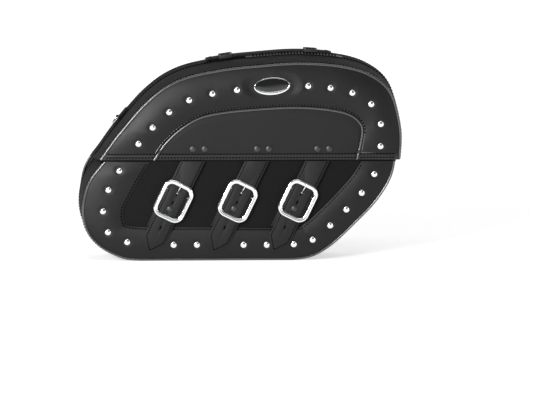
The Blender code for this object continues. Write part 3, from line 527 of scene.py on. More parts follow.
def vinyl(name, colour, roughness, gloss):
    """Smooth glossy vinyl or lacquer, a little uneven."""
    finish = Finish(name, {"Specular IOR Level": gloss, "Coat Weight": gloss * 0.6, "Coat Roughness": 0.12})
    place = finish.place()
    fine = finish.noise(place, 900.0, 3.0)
    broad = finish.noise(place, 25.0)
    finish.surface("Base Color", finish.mix(broad, colour, tuple(c * 1.9 for c in colour)))
    finish.surface("Roughness", broad * 0.06 + fine * 0.03 + roughness)
    finish.bump(fine * 0.2 + broad, 0.00004, 0.3)
    return finish


def plated(name, colour, roughness, brushed=0.0):
    """Plated metal with faint polishing marks and fingerprints."""
    finish = Finish(name, {"Metallic": 1.0})
    place = finish.place()
    haze = finish.noise(place, 70.0, 5.0)
    fine = finish.noise(place, 1500.0, 2.0)
    finish.surface("Base Color", finish.mix(haze, tuple(c * 0.94 for c in colour), colour))
    finish.surface("Roughness", haze * 0.05 + fine * (0.03 + brushed) + roughness)
    finish.bump(fine + haze * 2.0, 0.00002, 0.35 + brushed)
    return finish


PIPING_VINYL = vinyl("piping_vinyl", (0.012, 0.012, 0.0122), 0.20, 1.0)
ZINC = plated("zinc_plate", (0.56, 0.58, 0.61), 0.28, 0.12)
BACK_LEATHER = leather("back_leather", (0.007, 0.007, 0.0074), (0.015, 0.015, 0.0155), 0.48)
BACK_SEAM = 0.010

from_cad("back_leather_cover", "back_cover", BACK_LEATHER, "bag", 0.0005, sharp=20.0)
back_edge = [(p, Vector((0, 1, 0))) for p in back_ring(BACK_SEAM, -0.0002)]
sewn("back_stitches", back_edge + back_edge[:1], BLACK_THREAD, "bag")
BACK_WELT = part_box("back_welt")
welt_depth = BACK_WELT[1].y - BACK_WELT[0].y
welt_line = back_ring(welt_depth / 2 + 0.00015, (BACK_WELT[0].y + BACK_WELT[1].y) / 2)
piping("back_piping", welt_line, welt_depth / 2, True, "bag", "back_welt", PIPING_VINYL)
for k in range(1, 5):
    from_cad(f"threaded_insert_{k}", f"mount_insert_{k}", ZINC, "bag", 0.0004)

# ---- Boards: black moulded boards that stiffen the back, the bottom, the front and the lid, with a fine
# stipple. They show inside when the lid is open.


def stippled(name, colour):
    """Moulded plastic or foam with a fine stipple."""
    finish = Finish(name, {"Roughness": 0.6})
    place = finish.place()
    stipple = finish.noise(place, 1400.0, 2.0)
    broad = finish.noise(place, 16.0, 4.0)
    lighter = tuple(c * 1.7 for c in colour)
    finish.surface("Base Color", finish.mix(broad * 0.7 + stipple * 0.3, colour, lighter))
    finish.surface("Roughness", broad * 0.2 + 0.48)
    finish.bump(stipple, 0.0002, 0.6)
    return finish


def recoloured(node, finish):
    for slot in frame["nodes"][node].material_slots:
        slot.material = finish.material


BOARD_PLASTIC = stippled("board_plastic", (0.013, 0.013, 0.014))
FOAM_SHEET = stippled("foam_sheet", (0.060, 0.060, 0.062))
for node in ("back_board", "base_board", "front_board", "lid_board"):
    recoloured(node, BOARD_PLASTIC)
recoloured("lid_foam", FOAM_SHEET)

# ---- Front of the body: a dark leather panel, and over it a padded border that follows the outline. The
# border is sewn along its inner edge, and piping closes it against the gusset.
PANEL_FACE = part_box("front_panel")[0].y
FRONT_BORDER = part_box("front_border")
WELT_RADIUS = 0.0024
WELT_ROOM = 2 * WELT_RADIUS + 0.0003
FRONT_CROWN = 0.0050
PADDING_SEAM = 0.0032  # of the border's stitch row from its inner edge
STUD_RADIUS = 0.0062
DIMPLE = 0.0013
# distance of the first stud from the lid, and pitch of the first five
FRONT_STUDS = {"left": (0.0200, 0.0413), "right": (0.0255, 0.0425)}
UNDER_STRAPS = (5, 8)  # places that the tips of two straps cover, with no stud
BESIDE_STRAP = 0.0070  # how far the stud beside the third strap's tip moves along, clear of the strap
WINDOW = (
    (-0.282, 1.000), (-0.318, 0.820), (-0.350, 0.635), (-0.369, 0.519), (-0.369, 0.402), (-0.338, 0.341),
    (-0.128, 0.331), (0.162, 0.323), (0.207, 0.365), (0.255, 0.492), (0.318, 0.693), (0.361, 0.847),
    (0.391, 1.000),
)


def flat(points):
    return [Vector((p.x, p.z)) for p in points]


def over_run(points, level, above):
    """The run of closed outline points above or below a level, left to right, with its ends on the level."""
    count = len(points)
    good = [(p.y >= level) == above for p in points]
    first = next(i for i in range(count) if good[i] and not good[i - 1])
    run = []
    k = first
    while good[k % count]:
        run.append(points[k % count])
        k += 1

    def crossing(a, b):
        return a.lerp(b, (level - a.y) / (b.y - a.y))

    start = crossing(points[first - 1], points[first])
    run = [start] + run + [crossing(points[(k - 1) % count], points[k % count])]
    return run if run[0].x < run[-1].x else run[::-1]


def laid_sheet(first, second, along, across, depth_of):
    """A sheet between two lines of X and Z points. depth_of gives its Y from the shares along and across."""
    starts = spaced_to(first, along)
    ends = spaced_to(second, along)
    bm = bmesh.new()
    bmesh.ops.create_grid(bm, x_segments=along, y_segments=across, size=1.0)
    for vert in bm.verts:
        s, t = (vert.co.x + 1) / 2, (vert.co.y + 1) / 2
        i = round(s * along)
        p = starts[i].lerp(ends[i], t)
        vert.co = Vector((p.x, depth_of(s, t, p), p.y))
    return bm


def line_length(points):
    return sum((b - a).length for a, b in zip(points, points[1:]))


def spaced_to(points, count):
    """count + 1 points along a line of points, at equal steps."""
    return spaced(points, line_length(points) / count)


def inflated(bm, name, reach, pressure, hold=None):
    """Lets a sheet swell like padding under leather, its edge held, and caps how far a point may move."""
    mesh = bpy.data.meshes.new(name)
    bmesh.ops.recalc_face_normals(bm, faces=bm.faces)
    if sum(f.normal.y for f in bm.faces) > 0:
        bmesh.ops.reverse_faces(bm, faces=bm.faces)
    bm.to_mesh(mesh)
    held = [v.index for v in bm.verts if v.is_boundary or (hold and hold(v.co))]
    bm.free()
    start = [v.co.copy() for v in mesh.vertices]
    made = bpy.data.objects.new(name, mesh)
    bpy.context.scene.collection.objects.link(made)
    group = made.vertex_groups.new(name="held")
    group.add(held, 1.0, "REPLACE")
    cloth = made.modifiers.new("cloth", "CLOTH")
    cloth.settings.vertex_group_mass = "held"
    cloth.settings.use_pressure = True
    cloth.settings.uniform_pressure_force = pressure
    cloth.settings.tension_stiffness = 18.0
    cloth.settings.compression_stiffness = 18.0
    cloth.settings.bending_stiffness = 2.0
    cloth.settings.quality = 5
    cloth.settings.effector_weights.gravity = 0.0
    cloth.point_cache.frame_start = 1
    cloth.point_cache.frame_end = 20
    scene = bpy.context.scene
    for number in range(1, 21):
        scene.frame_set(number)
    shape = made.evaluated_get(bpy.context.evaluated_depsgraph_get())
    swollen = bpy.data.meshes.new_from_object(shape)
    for vert, old in zip(swollen.vertices, start):
        move = vert.co - old
        if move.length > reach:
            vert.co = old + move * (reach / move.length)
    bpy.data.objects.remove(made)
    scene.frame_set(1)
    return swollen


def backed(mesh, rear):
    """A sheet closed with a flat back at depth rear, and a search tree of its front."""
    bm = bmesh.new()
    bm.from_mesh(mesh)
    tree = BVHTree.FromBMesh(bm)
    grown = bmesh.ops.extrude_face_region(bm, geom=bm.faces[:])["geom"]
    for vert in grown:
        if isinstance(vert, bmesh.types.BMVert):
            vert.co.y = rear
    return bm, tree


def onto(tree, points, lift=0.0):
    """(point, outward direction) frames where X and Z points meet the front of a skin."""
    found = []
    for p in points:
        hit, normal, _, _ = tree.ray_cast(Vector((p.x, -0.4, p.y)), Vector((0, 1, 0)))
        if hit is not None:
            normal = normal if normal.y < 0 else -normal
            found.append((hit + normal * lift, normal))
    return found


def shifted(points, reach):
    """A line of X and Z points moved to its left, or to its right where reach is negative."""
    found = []
    for i, p in enumerate(points):
        along = (points[min(i + 1, len(points) - 1)] - points[max(i - 1, 0)]).normalized()
        found.append(p + Vector((-along.y, along.x)) * reach)
    return found


def along_share(points, lengths):
    """Points at given distances from the start of a line of points."""
    found, walked, k = [], 0.0, 0
    for want in lengths:
        while k < len(points) - 2 and walked + (points[k + 1] - points[k]).length < want:
            walked += (points[k + 1] - points[k]).length
            k += 1
        found.append(points[k].lerp(points[k + 1], (want - walked) / (points[k + 1] - points[k]).length))
    return found


def dimpled(depth, p, places):
    """Depth of padding at p, pressed in round the studs that stand at places."""
    near = min((p - q).length for q in places)
    return depth + DIMPLE * math.exp(-((near / STUD_RADIUS / 1.25) ** 4))


def ripple(p, reach):
    """Slow unevenness of leather that is pulled over padding."""
    return reach * (math.sin(p.x * 61.0 + p.y * 37.0) + 0.6 * math.sin(p.x * 23.0 - p.y * 71.0 + 1.3)) / 1.6


BORDER_LEATHER = leather(
    "border_leather", (0.0028, 0.0028, 0.0029), (0.0085, 0.0085, 0.0086), 0.38, sheen=0.26
)
FRONT_LEATHER = leather(
    "front_leather", (0.0016, 0.0016, 0.0017), (0.0052, 0.0052, 0.0053), 0.46, 1.2, sheen=0.11
)

panel_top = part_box("front_panel")[1].z
panel_edge = flat(ring(-WELT_ROOM, FRONT_PLANE))
below_lid = over_run(panel_edge, panel_top, False)
panel_rim = [below_lid[0], below_lid[-1]]


def panel_depth(s, t, p):
    edge = min(1.0, min(t, 1 - t, s, 1 - s) * 12)
    return PANEL_FACE + 0.0008 * (1 - edge) + ripple(p, 0.00025) * edge


sheet = laid_sheet(below_lid, panel_rim, 150, 30, panel_depth)
panel_mesh = bpy.data.meshes.new("panel_sheet")
sheet.to_mesh(panel_mesh)
sheet.free()
closed_panel = backed(panel_mesh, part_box("front_panel")[1].y)[0]
finished("front_leather_panel", closed_panel, FRONT_LEATHER, "bag", ("front_panel",), 60.0)

border_top = FRONT_BORDER[1].z
border_outer = over_run(panel_edge, border_top, False)
window = [Vector((u * BAG_LENGTH, FLOOR + v * (SEAM - FLOOR))) for u, v in spline(WINDOW, 6, False)]
window = [p for p in window if p.y < border_top]

front_middle = [a.lerp(b, 0.44) for a, b in zip(spaced_to(border_outer, 200), spaced_to(window, 200))]
front_left = [FRONT_STUDS["left"][0] + FRONT_STUDS["left"][1] * k for k in range(5)]
front_end = line_length(front_middle) - FRONT_STUDS["right"][0]
front_right = [front_end - FRONT_STUDS["right"][1] * k for k in range(4, -1, -1)]
gap = (front_right[0] - front_left[-1]) / 8
front_row = front_left + [front_left[-1] + gap * k for k in range(1, 8)] + front_right
front_row[11] += BESIDE_STRAP
front_places = along_share(front_middle, [d for k, d in enumerate(front_row) if k not in UNDER_STRAPS])


def border_depth(s, t, p):
    swell = math.sin(math.pi * t) ** 0.85
    ends = min(1.0, 0.45 + min(s, 1 - s) * 14)
    edge = 0.0009 + 0.0013 * t * t
    depth = FRONT_BORDER[1].y - edge - (FRONT_CROWN - 0.0009) * swell * ends + ripple(p, 0.00018) * swell
    return dimpled(depth, p, front_places)


sheet = laid_sheet(border_outer, window, 300, 24, border_depth)
swollen = inflated(sheet, "front_border_sheet", 0.0012, 2.0)
closed_border, front_tree = backed(swollen, FRONT_BORDER[1].y)
pad = finished(
    "front_padded_border", closed_border, BORDER_LEATHER, "bag", ("front_border",), 60.0
)
sewn("front_border_stitches", onto(front_tree, shifted(window, -PADDING_SEAM)[1:-1]), BLACK_THREAD, "bag")

front_welt_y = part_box("front_board")[0].y - 0.0003 - WELT_RADIUS
welt_line = over_run(flat(ring(-WELT_RADIUS, FRONT_PLANE)), border_top, False)
welt_line = [Vector((p.x, front_welt_y, p.y)) for p in welt_line]
piping("front_piping", welt_line, WELT_RADIUS, False, "bag", "front_welt", PIPING_VINYL)

# ---- Lid: a leather-covered rim, and over the lid's board a padded border round an arched centre panel.
# Piping runs along the rim and along the arch, and the lower edge is turned up and sewn twice.
LID_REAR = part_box("lid_band")[1].y
LID_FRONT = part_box("lid_band")[0].y
LID_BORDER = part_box("lid_border")
LID_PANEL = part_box("lid_panel")
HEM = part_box("lid_hem")
LID_HEIGHT = FLOOR + BAG_HEIGHT - SEAM
LID_CROWN = 0.0058
LID_REAR_SEAM = 0.0035
ARCH_SEAM = 0.0030  # of the arch's stitch row from its piping
PADDING_FOOT = HEM[1].z - 0.002  # where the lid's padding ends, behind the hem
HEM_ROWS = (0.40, 0.93)  # shares of the hem's height
FLANGE_RADIUS = 0.0011
# distance of the first stud from the hem, pitch, and growth of the pitch from stud to stud
LID_STUDS = {"left": (0.0258, 0.0404, 0.0015), "right": (0.0130, 0.0418, 0.0)}
BADGE_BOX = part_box("badge_plate")
BADGE_CENTRE = (BADGE_BOX[0] + BADGE_BOX[1]) / 2
ARCH = (
    (-0.272, 0.000), (-0.238, 0.168), (-0.190, 0.324), (-0.128, 0.451), (-0.051, 0.509), (0.051, 0.543),
    (0.170, 0.564), (0.272, 0.543), (0.345, 0.491), (0.381, 0.399), (0.389, 0.283), (0.372, 0.000),
)
PANEL_LEATHER = leather(
    "lid_panel_leather", (0.0060, 0.0060, 0.0062), (0.0140, 0.0140, 0.0142), 0.50, 1.1, sheen=0.20
)

lined_wall("lid_wall", LID_OVERHANG, LID_FRONT, LID_REAR, SEAM, None, "lid", "lid_band")
for side, y in (("front", LID_FRONT + WALL_SEAM), ("rear", LID_REAR - LID_REAR_SEAM)):
    for k, run in enumerate(wall_frames(LID_OVERHANG - SUNK, y, SEAM + ROW_END, 1.0)):
        sewn(f"lid_{side}_stitches_{k + 1}", run, BLACK_THREAD, "lid")

lid_edge = flat(ring(LID_OVERHANG - WELT_ROOM, LID_FRONT))
lid_outer = over_run(lid_edge, PADDING_FOOT, True)
arch = [Vector((u * BAG_LENGTH, SEAM + v * LID_HEIGHT)) for u, v in spline(ARCH, 8, False)]
arch_outer = [p for p in shifted(arch, WELT_ROOM / 2) if p.y > PADDING_FOOT]
arch_inner = [p for p in shifted(arch, -WELT_ROOM / 2) if p.y > PADDING_FOOT]

lid_middle = [a.lerp(b, 0.49) for a, b in zip(spaced_to(lid_outer, 200), spaced_to(arch_outer, 200))]
lid_places = []
for side, line in (("left", lid_middle), ("right", lid_middle[::-1])):
    start, pitch, growth = LID_STUDS[side]
    lid_places += along_share(line, [start + pitch * k + growth * k * (k - 1) / 2 for k in range(6)])


def badge_reach(x, z):
    """Distance from the badge's middle, as a share of a little more than its oval."""
    return Vector(((x - BADGE_CENTRE.x) / 0.042, (z - BADGE_CENTRE.z) / 0.0235)).length


def lid_depth(s, t, p):
    swell = math.sin(math.pi * t) ** 0.85
    ends = min(1.0, 0.25 + min(s, 1 - s) * 9)
    depth = LID_BORDER[1].y - 0.0008 - LID_CROWN * swell * ends + ripple(p, 0.00022) * swell
    away = badge_reach(p.x, p.y)
    pressed = min(max((1.35 - away) / 0.35, 0.0), 1.0)
    return dimpled(depth + pressed * max(BADGE_BOX[1].y + 0.0001 - depth, 0.0), p, lid_places)


def under_badge(co):
    return badge_reach(co.x, co.z) < 1.1


sheet = laid_sheet(lid_outer, arch_outer, 300, 26, lid_depth)
swollen = inflated(sheet, "lid_border_sheet", 0.0012, 2.0, under_badge)
closed_border, lid_tree = backed(swollen, LID_BORDER[1].y)
pad = finished("lid_padded_border", closed_border, BORDER_LEATHER, "lid", ("lid_border",), 60.0)
sewn("arch_stitches", onto(lid_tree, shifted(arch, WELT_ROOM / 2 + ARCH_SEAM))[4:-4], BLACK_THREAD, "lid")


def arch_panel_depth(s, t, p):
    edge = min(1.0, t * 7, min(s, 1 - s) * 9)
    low = min(1.0, (1 - t) * 5)
    return LID_PANEL[0].y + 0.0010 - 0.0008 * edge - 0.0004 * edge * low + ripple(p, 0.00012) * edge


sheet = laid_sheet(arch_inner, [arch_inner[0], arch_inner[-1]], 130, 26, arch_panel_depth)
swollen = inflated(sheet, "lid_panel_sheet", 0.0004, 0.6)
closed_panel = backed(swollen, LID_PANEL[1].y)[0]
pad = finished("lid_arched_panel", closed_panel, PANEL_LEATHER, "lid", ("lid_panel",), 60.0)

hem_low = over_run(lid_edge, SEAM + 0.0004, True)
hem_high = over_run(lid_edge, HEM[1].z, True)


def hem_depth(s, t, p):
    face = math.sin(math.pi * min(max(t, 0.0), 1.0)) ** 0.35
    middle = 0.0008 * math.exp(-(((t - 0.66) / 0.17) ** 2))
    ends = min(1.0, 0.35 + min(s, 1 - s) * 20)
    return HEM[1].y - (HEM[1].y - HEM[0].y - 0.0006) * face * ends - middle * ends


sheet = laid_sheet([hem_low[0], hem_low[-1]], [hem_high[0], hem_high[-1]], 160, 18, hem_depth)
hem_mesh = bpy.data.meshes.new("hem_sheet")
sheet.to_mesh(hem_mesh)
sheet.free()
closed_hem, hem_tree = backed(hem_mesh, HEM[1].y)
# The hem's leather is lighter than the border's leather. This is a painted highlight that stands for the
# light on the raised rib between its stitch rows.
HEM_LEATHER_PAINTED_HIGHLIGHT = leather("hem_leather_painted_highlight", (0.0080, 0.0080, 0.0082), (0.0200, 0.0200, 0.0203), 0.42, sheen=0.32)
finished("lid_sewn_hem", closed_hem, HEM_LEATHER_PAINTED_HIGHLIGHT, "lid", ("lid_hem",), 60.0)
hem_height = HEM[1].z - HEM[0].z
for k, share in enumerate(HEM_ROWS):
    level = SEAM + hem_height * share
    line = [Vector((hem_low[0].x + 0.006, level)), Vector((hem_low[-1].x - 0.006, level))]
    sewn(f"hem_stitches_{k + 1}", onto(hem_tree, spaced(line, 0.003), -0.0001), BLACK_THREAD, "lid")

arch_seat = LID_BORDER[1].y - WELT_RADIUS
arch_cord = []
for p in spaced(arch, 0.003):
    over_hem = min(max((HEM[1].z + 0.006 - p.y) / 0.006, 0.0), 1.0)
    arch_cord.append(Vector((p.x, arch_seat - 0.0024 * over_hem, max(p.y, SEAM + 0.001))))
piping("arch_piping", arch_cord, WELT_RADIUS, False, "lid", "arch_welt", PIPING_VINYL)
second_line = [q for q in spaced(shifted(arch, WELT_ROOM + 0.0002), 0.003) if q.y > HEM[1].z]
second_cord = [p + Vector((0, 0.0006, 0)) for p, _ in onto(lid_tree, second_line)]
piping("arch_piping_flange", second_cord, FLANGE_RADIUS, False, "lid", None, PIPING_VINYL)

lid_welt_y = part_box("lid_welt")[0].y + WELT_RADIUS
lid_line = over_run(flat(ring(LID_OVERHANG - WELT_RADIUS, LID_FRONT)), SEAM + 0.001, True)
lid_line = [Vector((p.x, lid_welt_y, p.y)) for p in lid_line]
piping("lid_piping", lid_line, WELT_RADIUS, False, "lid", "lid_welt", PIPING_VINYL)

# ---- Hinge leather: one strip over the slit between the hoop and the lid, sewn to both.
HINGE_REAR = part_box("hinge_leather_rear")
HINGE_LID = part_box("hinge_leather_lid")
HINGE_LOW = LID_OVERHANG + 0.0003
HINGE_HIGH = LID_OVERHANG + 0.0016
HINGE_SEAM = 0.0025


def top_strip(section, box):
    """The stretch of a wall band over the bag's top, between the ends of a CAD box."""
    bm = wall_band(section)
    for x, keep in ((box[0].x, 1), (box[1].x, -1)):
        cropped(bm, (x, 0, 0), (keep, 0, 0))
    return cropped(bm, (0, 0, 0), (0, 0, 1))


section = wall_section(HINGE_HIGH, HINGE_LOW, HINGE_LID[0].y, HINGE_REAR[1].y, 0.0002, 0.0005)
strip = top_strip(section, HINGE_REAR)
halves = ("hinge_leather_rear", "hinge_leather_lid")
hinge = finished("hinge_leather", strip, BACK_LEATHER, None, halves)
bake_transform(hinge)
for body, y in (("bag", HINGE_REAR[1].y - HINGE_SEAM), ("lid", HINGE_LID[0].y + HINGE_SEAM)):
    run = wall_frames(LID_OVERHANG + 0.0015, y, 0.0, 1.0)[0]
    run = [f for f in run if HINGE_REAR[0].x + ROW_END < f[0].x < HINGE_REAR[1].x - ROW_END]
    sewn(f"hinge_stitches_{body}", run, BLACK_THREAD, body)

# ---- Studs: chrome domes, pressed into the padded borders along their middle line.
STUD_RISE = 0.0036
CHROME = plated("chrome_plate", (0.90, 0.91, 0.93), 0.045)


def turned(profile, steps):
    """A solid turned about Z from (radius, height) points that start and end on the axis."""
    bm = bmesh.new()
    verts = [bm.verts.new((r, 0.0, h)) for r, h in profile]
    edges = [bm.edges.new(pair) for pair in zip(verts, verts[1:])]
    bmesh.ops.spin(
        bm, geom=verts + edges, cent=(0, 0, 0), axis=(0, 0, 1), angle=2 * math.pi, steps=steps, use_merge=True
    )
    bmesh.ops.remove_doubles(bm, verts=bm.verts, dist=1e-6)
    return bm


def stood(bm, place, out):
    """Turns a solid's Z to point out, and moves it to place."""
    turn = Vector(out).to_track_quat("Z", "Y").to_matrix().to_4x4()
    bmesh.ops.transform(bm, matrix=Matrix.Translation(place) @ turn, verts=bm.verts)
    return bm


def domed(radius, rise, skirt=0.0007, steps=6):
    """(radius, height) points over a dome that stands on a thin skirt, with a flat seat below."""
    found = [(0.0, -0.0006), (radius * 0.96, -0.0006), (radius, 0.0), (radius, skirt)]
    for k in range(1, steps + 1):
        turn = math.pi / 2 * k / steps
        found.append((radius * math.cos(turn), skirt + (rise - skirt) * math.sin(turn)))
    found[-1] = (0.0, rise)
    return found


stud_rows = (("lid_stud", lid_places, lid_tree, "lid"), ("front_stud", front_places, front_tree, "bag"))
for prefix, places, tree, body in stud_rows:
    for k, (point, out) in enumerate(onto(tree, places)):
        stud = stood(turned(domed(STUD_RADIUS, STUD_RISE), 24), point, out)
        finished(f"{prefix}_{k + 1}", stud, CHROME, body, ())

# ---- Badge: an oval chrome concho with a heavier lower rim and a black enamel field, set into the lid's
# border.
BADGE_TILT = math.radians(4.0)
BADGE_OVAL = (0.034, 0.0165)  # half its length and half its height
ENAMEL = vinyl("black_enamel", (0.0020, 0.0020, 0.0022), 0.06, 0.5)


def badge_oval(shrink, height, lift, squeeze):
    """An oval line inside the badge's edge by shrink, at a height over its seat."""
    wide = BADGE_OVAL[0] - shrink
    high = BADGE_OVAL[1] - shrink - squeeze
    turn = Matrix.Rotation(-BADGE_TILT, 3, "Y")
    shares = [2 * math.pi * k / 64 for k in range(64)]
    return [turn @ Vector((wide * math.cos(a), -height, high * math.sin(a) + lift)) for a in shares]


badge_seat = Vector((BADGE_CENTRE.x, BADGE_BOX[1].y, BADGE_CENTRE.z))
# rows of shrink, height, lift and squeeze
rim_profile = (
    (0.0, -0.0002, 0.0, 0.0), (0.0, 0.0010, 0.0, 0.0), (0.0004, 0.0018, 0.0, 0.0),
    (0.0012, 0.0024, 0.0002, 0.0003), (0.0018, 0.0024, 0.0012, 0.0013), (0.0022, 0.0018, 0.0016, 0.0018),
    (0.0023, 0.0010, 0.0017, 0.0019),
)
field_profile = (
    (0.0024, 0.0008, 0.0017, 0.0019), (0.0026, 0.0015, 0.0017, 0.0019), (0.0100, 0.0019, 0.0017, 0.0014),
)
for name, profile, finish, node, slot in (
    ("badge_rim", rim_profile, CHROME, "badge_plate", "chrome"),
    ("badge_field", field_profile, ENAMEL, "badge_inlay", "black_enamel"),
):
    oval = skin([badge_oval(*row) for row in profile], False)
    bmesh.ops.translate(oval, verts=oval.verts, vec=badge_seat)
    finished(name, oval, finish, "lid", (node,), 50.0)

# ---- Strap roots and rivets: each strap's end lies between the lid's board and its leather, held by two
# domed black rivets with washers.
RIVET_RADIUS = 0.0064
RIVET_SHANK = 0.0020
RIVET_WASHER = (0.0046, 0.0010)  # radius and thickness
BLACK_STEEL = plated("black_steel", (0.070, 0.070, 0.073), 0.36, 0.05)
STRAP_LEATHER = leather(
    "strap_leather", (0.0065, 0.0065, 0.0066), (0.0150, 0.0150, 0.0152), 0.42, 1.0, 900.0, 0.20
)
for k in range(1, 4):
    from_cad(f"strap_root_leather_{k}", f"strap_root_{k}", STRAP_LEATHER, "lid", 0.0004)
for k in range(1, 7):
    node = f"strap_rivet_{k}"
    low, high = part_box(node)
    middle = (low + high) / 2
    foot = LID_PANEL[0].y - high.y
    profile = [
        (0.0, foot), (RIVET_WASHER[0], foot), (RIVET_WASHER[0], foot + RIVET_WASHER[1]),
        (RIVET_SHANK, foot + RIVET_WASHER[1]), (RIVET_SHANK, -0.0004),
    ]
    profile += domed(RIVET_RADIUS, LID_PANEL[0].y - low.y, 0.0009)[1:]
    rivet = stood(turned(profile, 24), Vector((middle.x, LID_PANEL[0].y, middle.z)), (0, -1, 0))
    finished(node + "_dome", rivet, BLACK_STEEL, "lid", (node,))

# ---- Straps: double leather with burnished edges, sewn round, with slots for the prong. Each carries a
# chrome buckle, a prong on its heel bar, and a press stud whose other half sits on a leather tab of the body.
STRAP_SLANT = math.radians(26)
STRAP_WIDTH = 0.041
STRAP_THICK = 0.0022
SHOULDER = 0.165  # from the hinge to where the tip begins
TIP = 0.1915
SEAM_INSET = 0.0034
BUCKLE = (0.061, 0.075)  # width and length
BUCKLE_BAR = 0.0086
BUCKLE_MIDDLE = 0.084  # from the hinge
BUCKLE_CORNER = 0.0185
HEEL_BAR = 0.0014  # radius
CAP_PLACE = 0.1003  # from the hinge
CAP_RADIUS = 0.0059
STRAP_STITCH = (0.0048, 0.0028, 0.00095)


def rounded_rectangle(width, height, radius, steps):
    """Points round a rectangle whose corners are arcs of a few steps."""
    found = []
    for k, (sx, sz) in enumerate(((1, 1), (-1, 1), (-1, -1), (1, -1))):
        middle = Vector((sx * (width / 2 - radius), sz * (height / 2 - radius)))
        for i in range(steps + 1):
            turn = math.pi / 2 * (k + i / steps)
            found.append(middle + radius * Vector((math.cos(turn), math.sin(turn))))
    return found


def buckle_frame():
    """A cast frame with rounded bars and a bevel line, its lugs and heel bar."""
    section = (  # millimetres in from the outer edge, and up from the underside
        (0.0, 0.9), (0.0, 1.9), (0.5, 2.9), (1.5, 3.7), (2.7, 4.15), (3.6, 4.2), (4.3, 3.75), (5.0, 3.9),
        (6.4, 3.75), (7.6, 3.2), (8.4, 2.2), (8.6, 1.2), (8.0, 0.35), (6.5, 0.0), (2.0, 0.0), (0.6, 0.3),
    )
    loops = []
    for row in section:
        inset, height = row[0] / 1000, row[1] / 1000
        corner = max(BUCKLE_CORNER - inset, 0.0045)
        shape = rounded_rectangle(BUCKLE[0] - 2 * inset, BUCKLE[1] - 2 * inset, corner, 8)
        level = -(STRAP_THICK / 2 + 0.0004 + height)
        loops.append([Vector((p.x, level, p.y - BUCKLE_MIDDLE)) for p in shape])
    bm = skin(loops, True)
    depth = STRAP_THICK / 2 + 0.0003 - 0.0029 + 0.0058
    heel = -(BUCKLE_MIDDLE - BUCKLE[1] / 2 + BUCKLE_BAR / 2 + 0.017)
    inner = BUCKLE[0] / 2 - BUCKLE_BAR
    for side in (-1, 1):
        lug = Matrix.Translation((side * (inner + 0.0030), (depth - 0.0010) / 2 - 0.0008, heel))
        bmesh.ops.create_cube(bm, size=1.0, matrix=lug @ Matrix.Diagonal((0.0052, 0.0060, 0.0068, 1.0)))
    turn = Matrix.Rotation(math.pi / 2, 4, "Y")
    bmesh.ops.create_cone(
        bm, cap_ends=True, segments=16, radius1=HEEL_BAR, radius2=HEEL_BAR, depth=2 * inner + 0.006,
        matrix=Matrix.Translation((0, depth - 0.0029, heel)) @ turn,
    )
    return bm


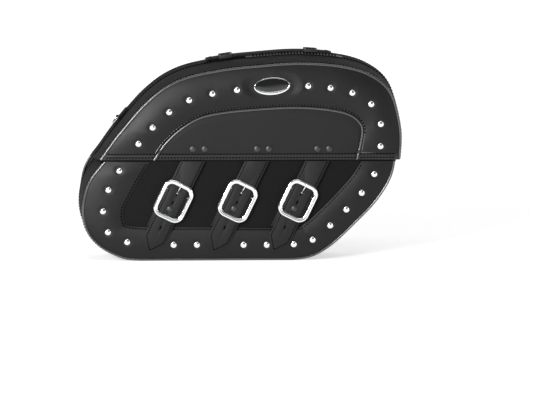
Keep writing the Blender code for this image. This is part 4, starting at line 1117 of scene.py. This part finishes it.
for number in range(1, 4):
    body = f"strap_{number}"
    pivot = next(j for j in frame["joints"] if j["name"] == body + "_swing")["pos_m"]
    hinge = Matrix.Translation(Vector(pivot)) @ Matrix.Rotation(STRAP_SLANT, 4, "Y")
    from_cad(f"strap_leather_{number}", body, STRAP_LEATHER, body, 0.0006, 3)
    half = STRAP_WIDTH / 2 - SEAM_INSET
    lean = math.tan(STRAP_SLANT)
    tip = -(TIP - SEAM_INSET * 1.45)
    edge = [
        (-half, -half * lean - 0.002), (-half, -SHOULDER + 0.001), (0.0, tip), (half, -SHOULDER + 0.001),
        (half, half * lean - 0.002),
    ]
    edge = [hinge @ Vector((x, -STRAP_THICK / 2, z)) for x, z in edge]
    out = hinge.to_3x3() @ Vector((0, -1, 0))
    for j, line in enumerate(zip(edge, edge[1:])):
        row = [(p, out) for p in spaced(line, 0.004)]
        sewn(f"strap_{number}_stitches_{j + 1}", row, BLACK_THREAD, body, STRAP_STITCH)
    frame_mesh = buckle_frame()
    bmesh.ops.transform(frame_mesh, matrix=hinge, verts=frame_mesh.verts)
    finished(f"buckle_frame_{number}", frame_mesh, CHROME, body, (f"buckle_{number}",), 50.0)
    cap_place = hinge @ Vector((0, -STRAP_THICK / 2 - 0.0003, -CAP_PLACE))
    profile = [(0.0, -0.0028), (0.0026, -0.0028), (0.0026, -0.0002)] + domed(CAP_RADIUS, 0.0024, 0.0006)[1:]
    cap = stood(turned(profile, 28), cap_place, out)
    finished(f"snap_cap_dome_{number}", cap, BLACK_STEEL, body, (f"snap_cap_{number}",))
    prong, tab, stud = f"prong_{number}", f"snap_tab_{number}", f"snap_stud_{number}"
    from_cad(f"prong_pin_{number}", prong, CHROME, prong, 0.0004)
    from_cad(f"snap_tab_leather_{number}", tab, STRAP_LEATHER, "bag", 0.0005)
    from_cad(f"snap_stud_post_{number}", stud, BLACK_STEEL, "bag", 0.0002)

# ---- Handle: woven webbing flat along the top of the hoop, riveted at both ends, with two moulded sliders.


def webbing(name, colour):
    """Woven nylon: ribs across and finer ones along."""
    finish = Finish(name, {"Roughness": 0.8, "Specular IOR Level": 0.3})
    place = finish.place()
    bands = []
    for direction, scale in (("X", 420.0), ("Y", 210.0)):
        settings = {"wave_type": "BANDS", "bands_direction": direction}
        inputs = {"Vector": place, "Scale": scale, "Distortion": 0.4}
        bands.append(finish.node("ShaderNodeTexWave", settings, inputs, "Fac"))
    weave = bands[0] * 0.6 + bands[1] * 0.4
    finish.surface("Base Color", finish.mix(weave, colour, tuple(c * 2.6 for c in colour)))
    finish.bump(weave, 0.0004, 0.8)
    return finish


WEBBING = webbing("handle_weave", (0.006, 0.006, 0.0064))
MOULDED = stippled("moulded_nylon", (0.008, 0.008, 0.0085))
HANDLE_THICK = 0.0020
handle_low = LID_OVERHANG + 0.0028
handle_high = handle_low + HANDLE_THICK
section = wall_section(handle_high, handle_low, HANDLE[0].y, HANDLE[1].y, 0.0003, 0.0007, 7)
finished("handle_strap", top_strip(section, HANDLE), WEBBING, "bag", ("handle_webbing",))
for k in (1, 2):
    slider, rivet = f"handle_slider_{k}", f"handle_rivet_{k}"
    from_cad(f"slider_{k}_moulding", slider, MOULDED, f"slider_{k}", 0.0005, 3)
    from_cad(rivet + "_dome", rivet, BLACK_STEEL, "bag", 0.0003)

# ---- D-ring on the left end of the hoop, in a folded webbing tab.
from_cad("ring_tab_webbing", "ring_tab", WEBBING, "bag", 0.0004)
from_cad("d_ring_wire", "d_ring", CHROME, "d_ring", sharp=60.0)
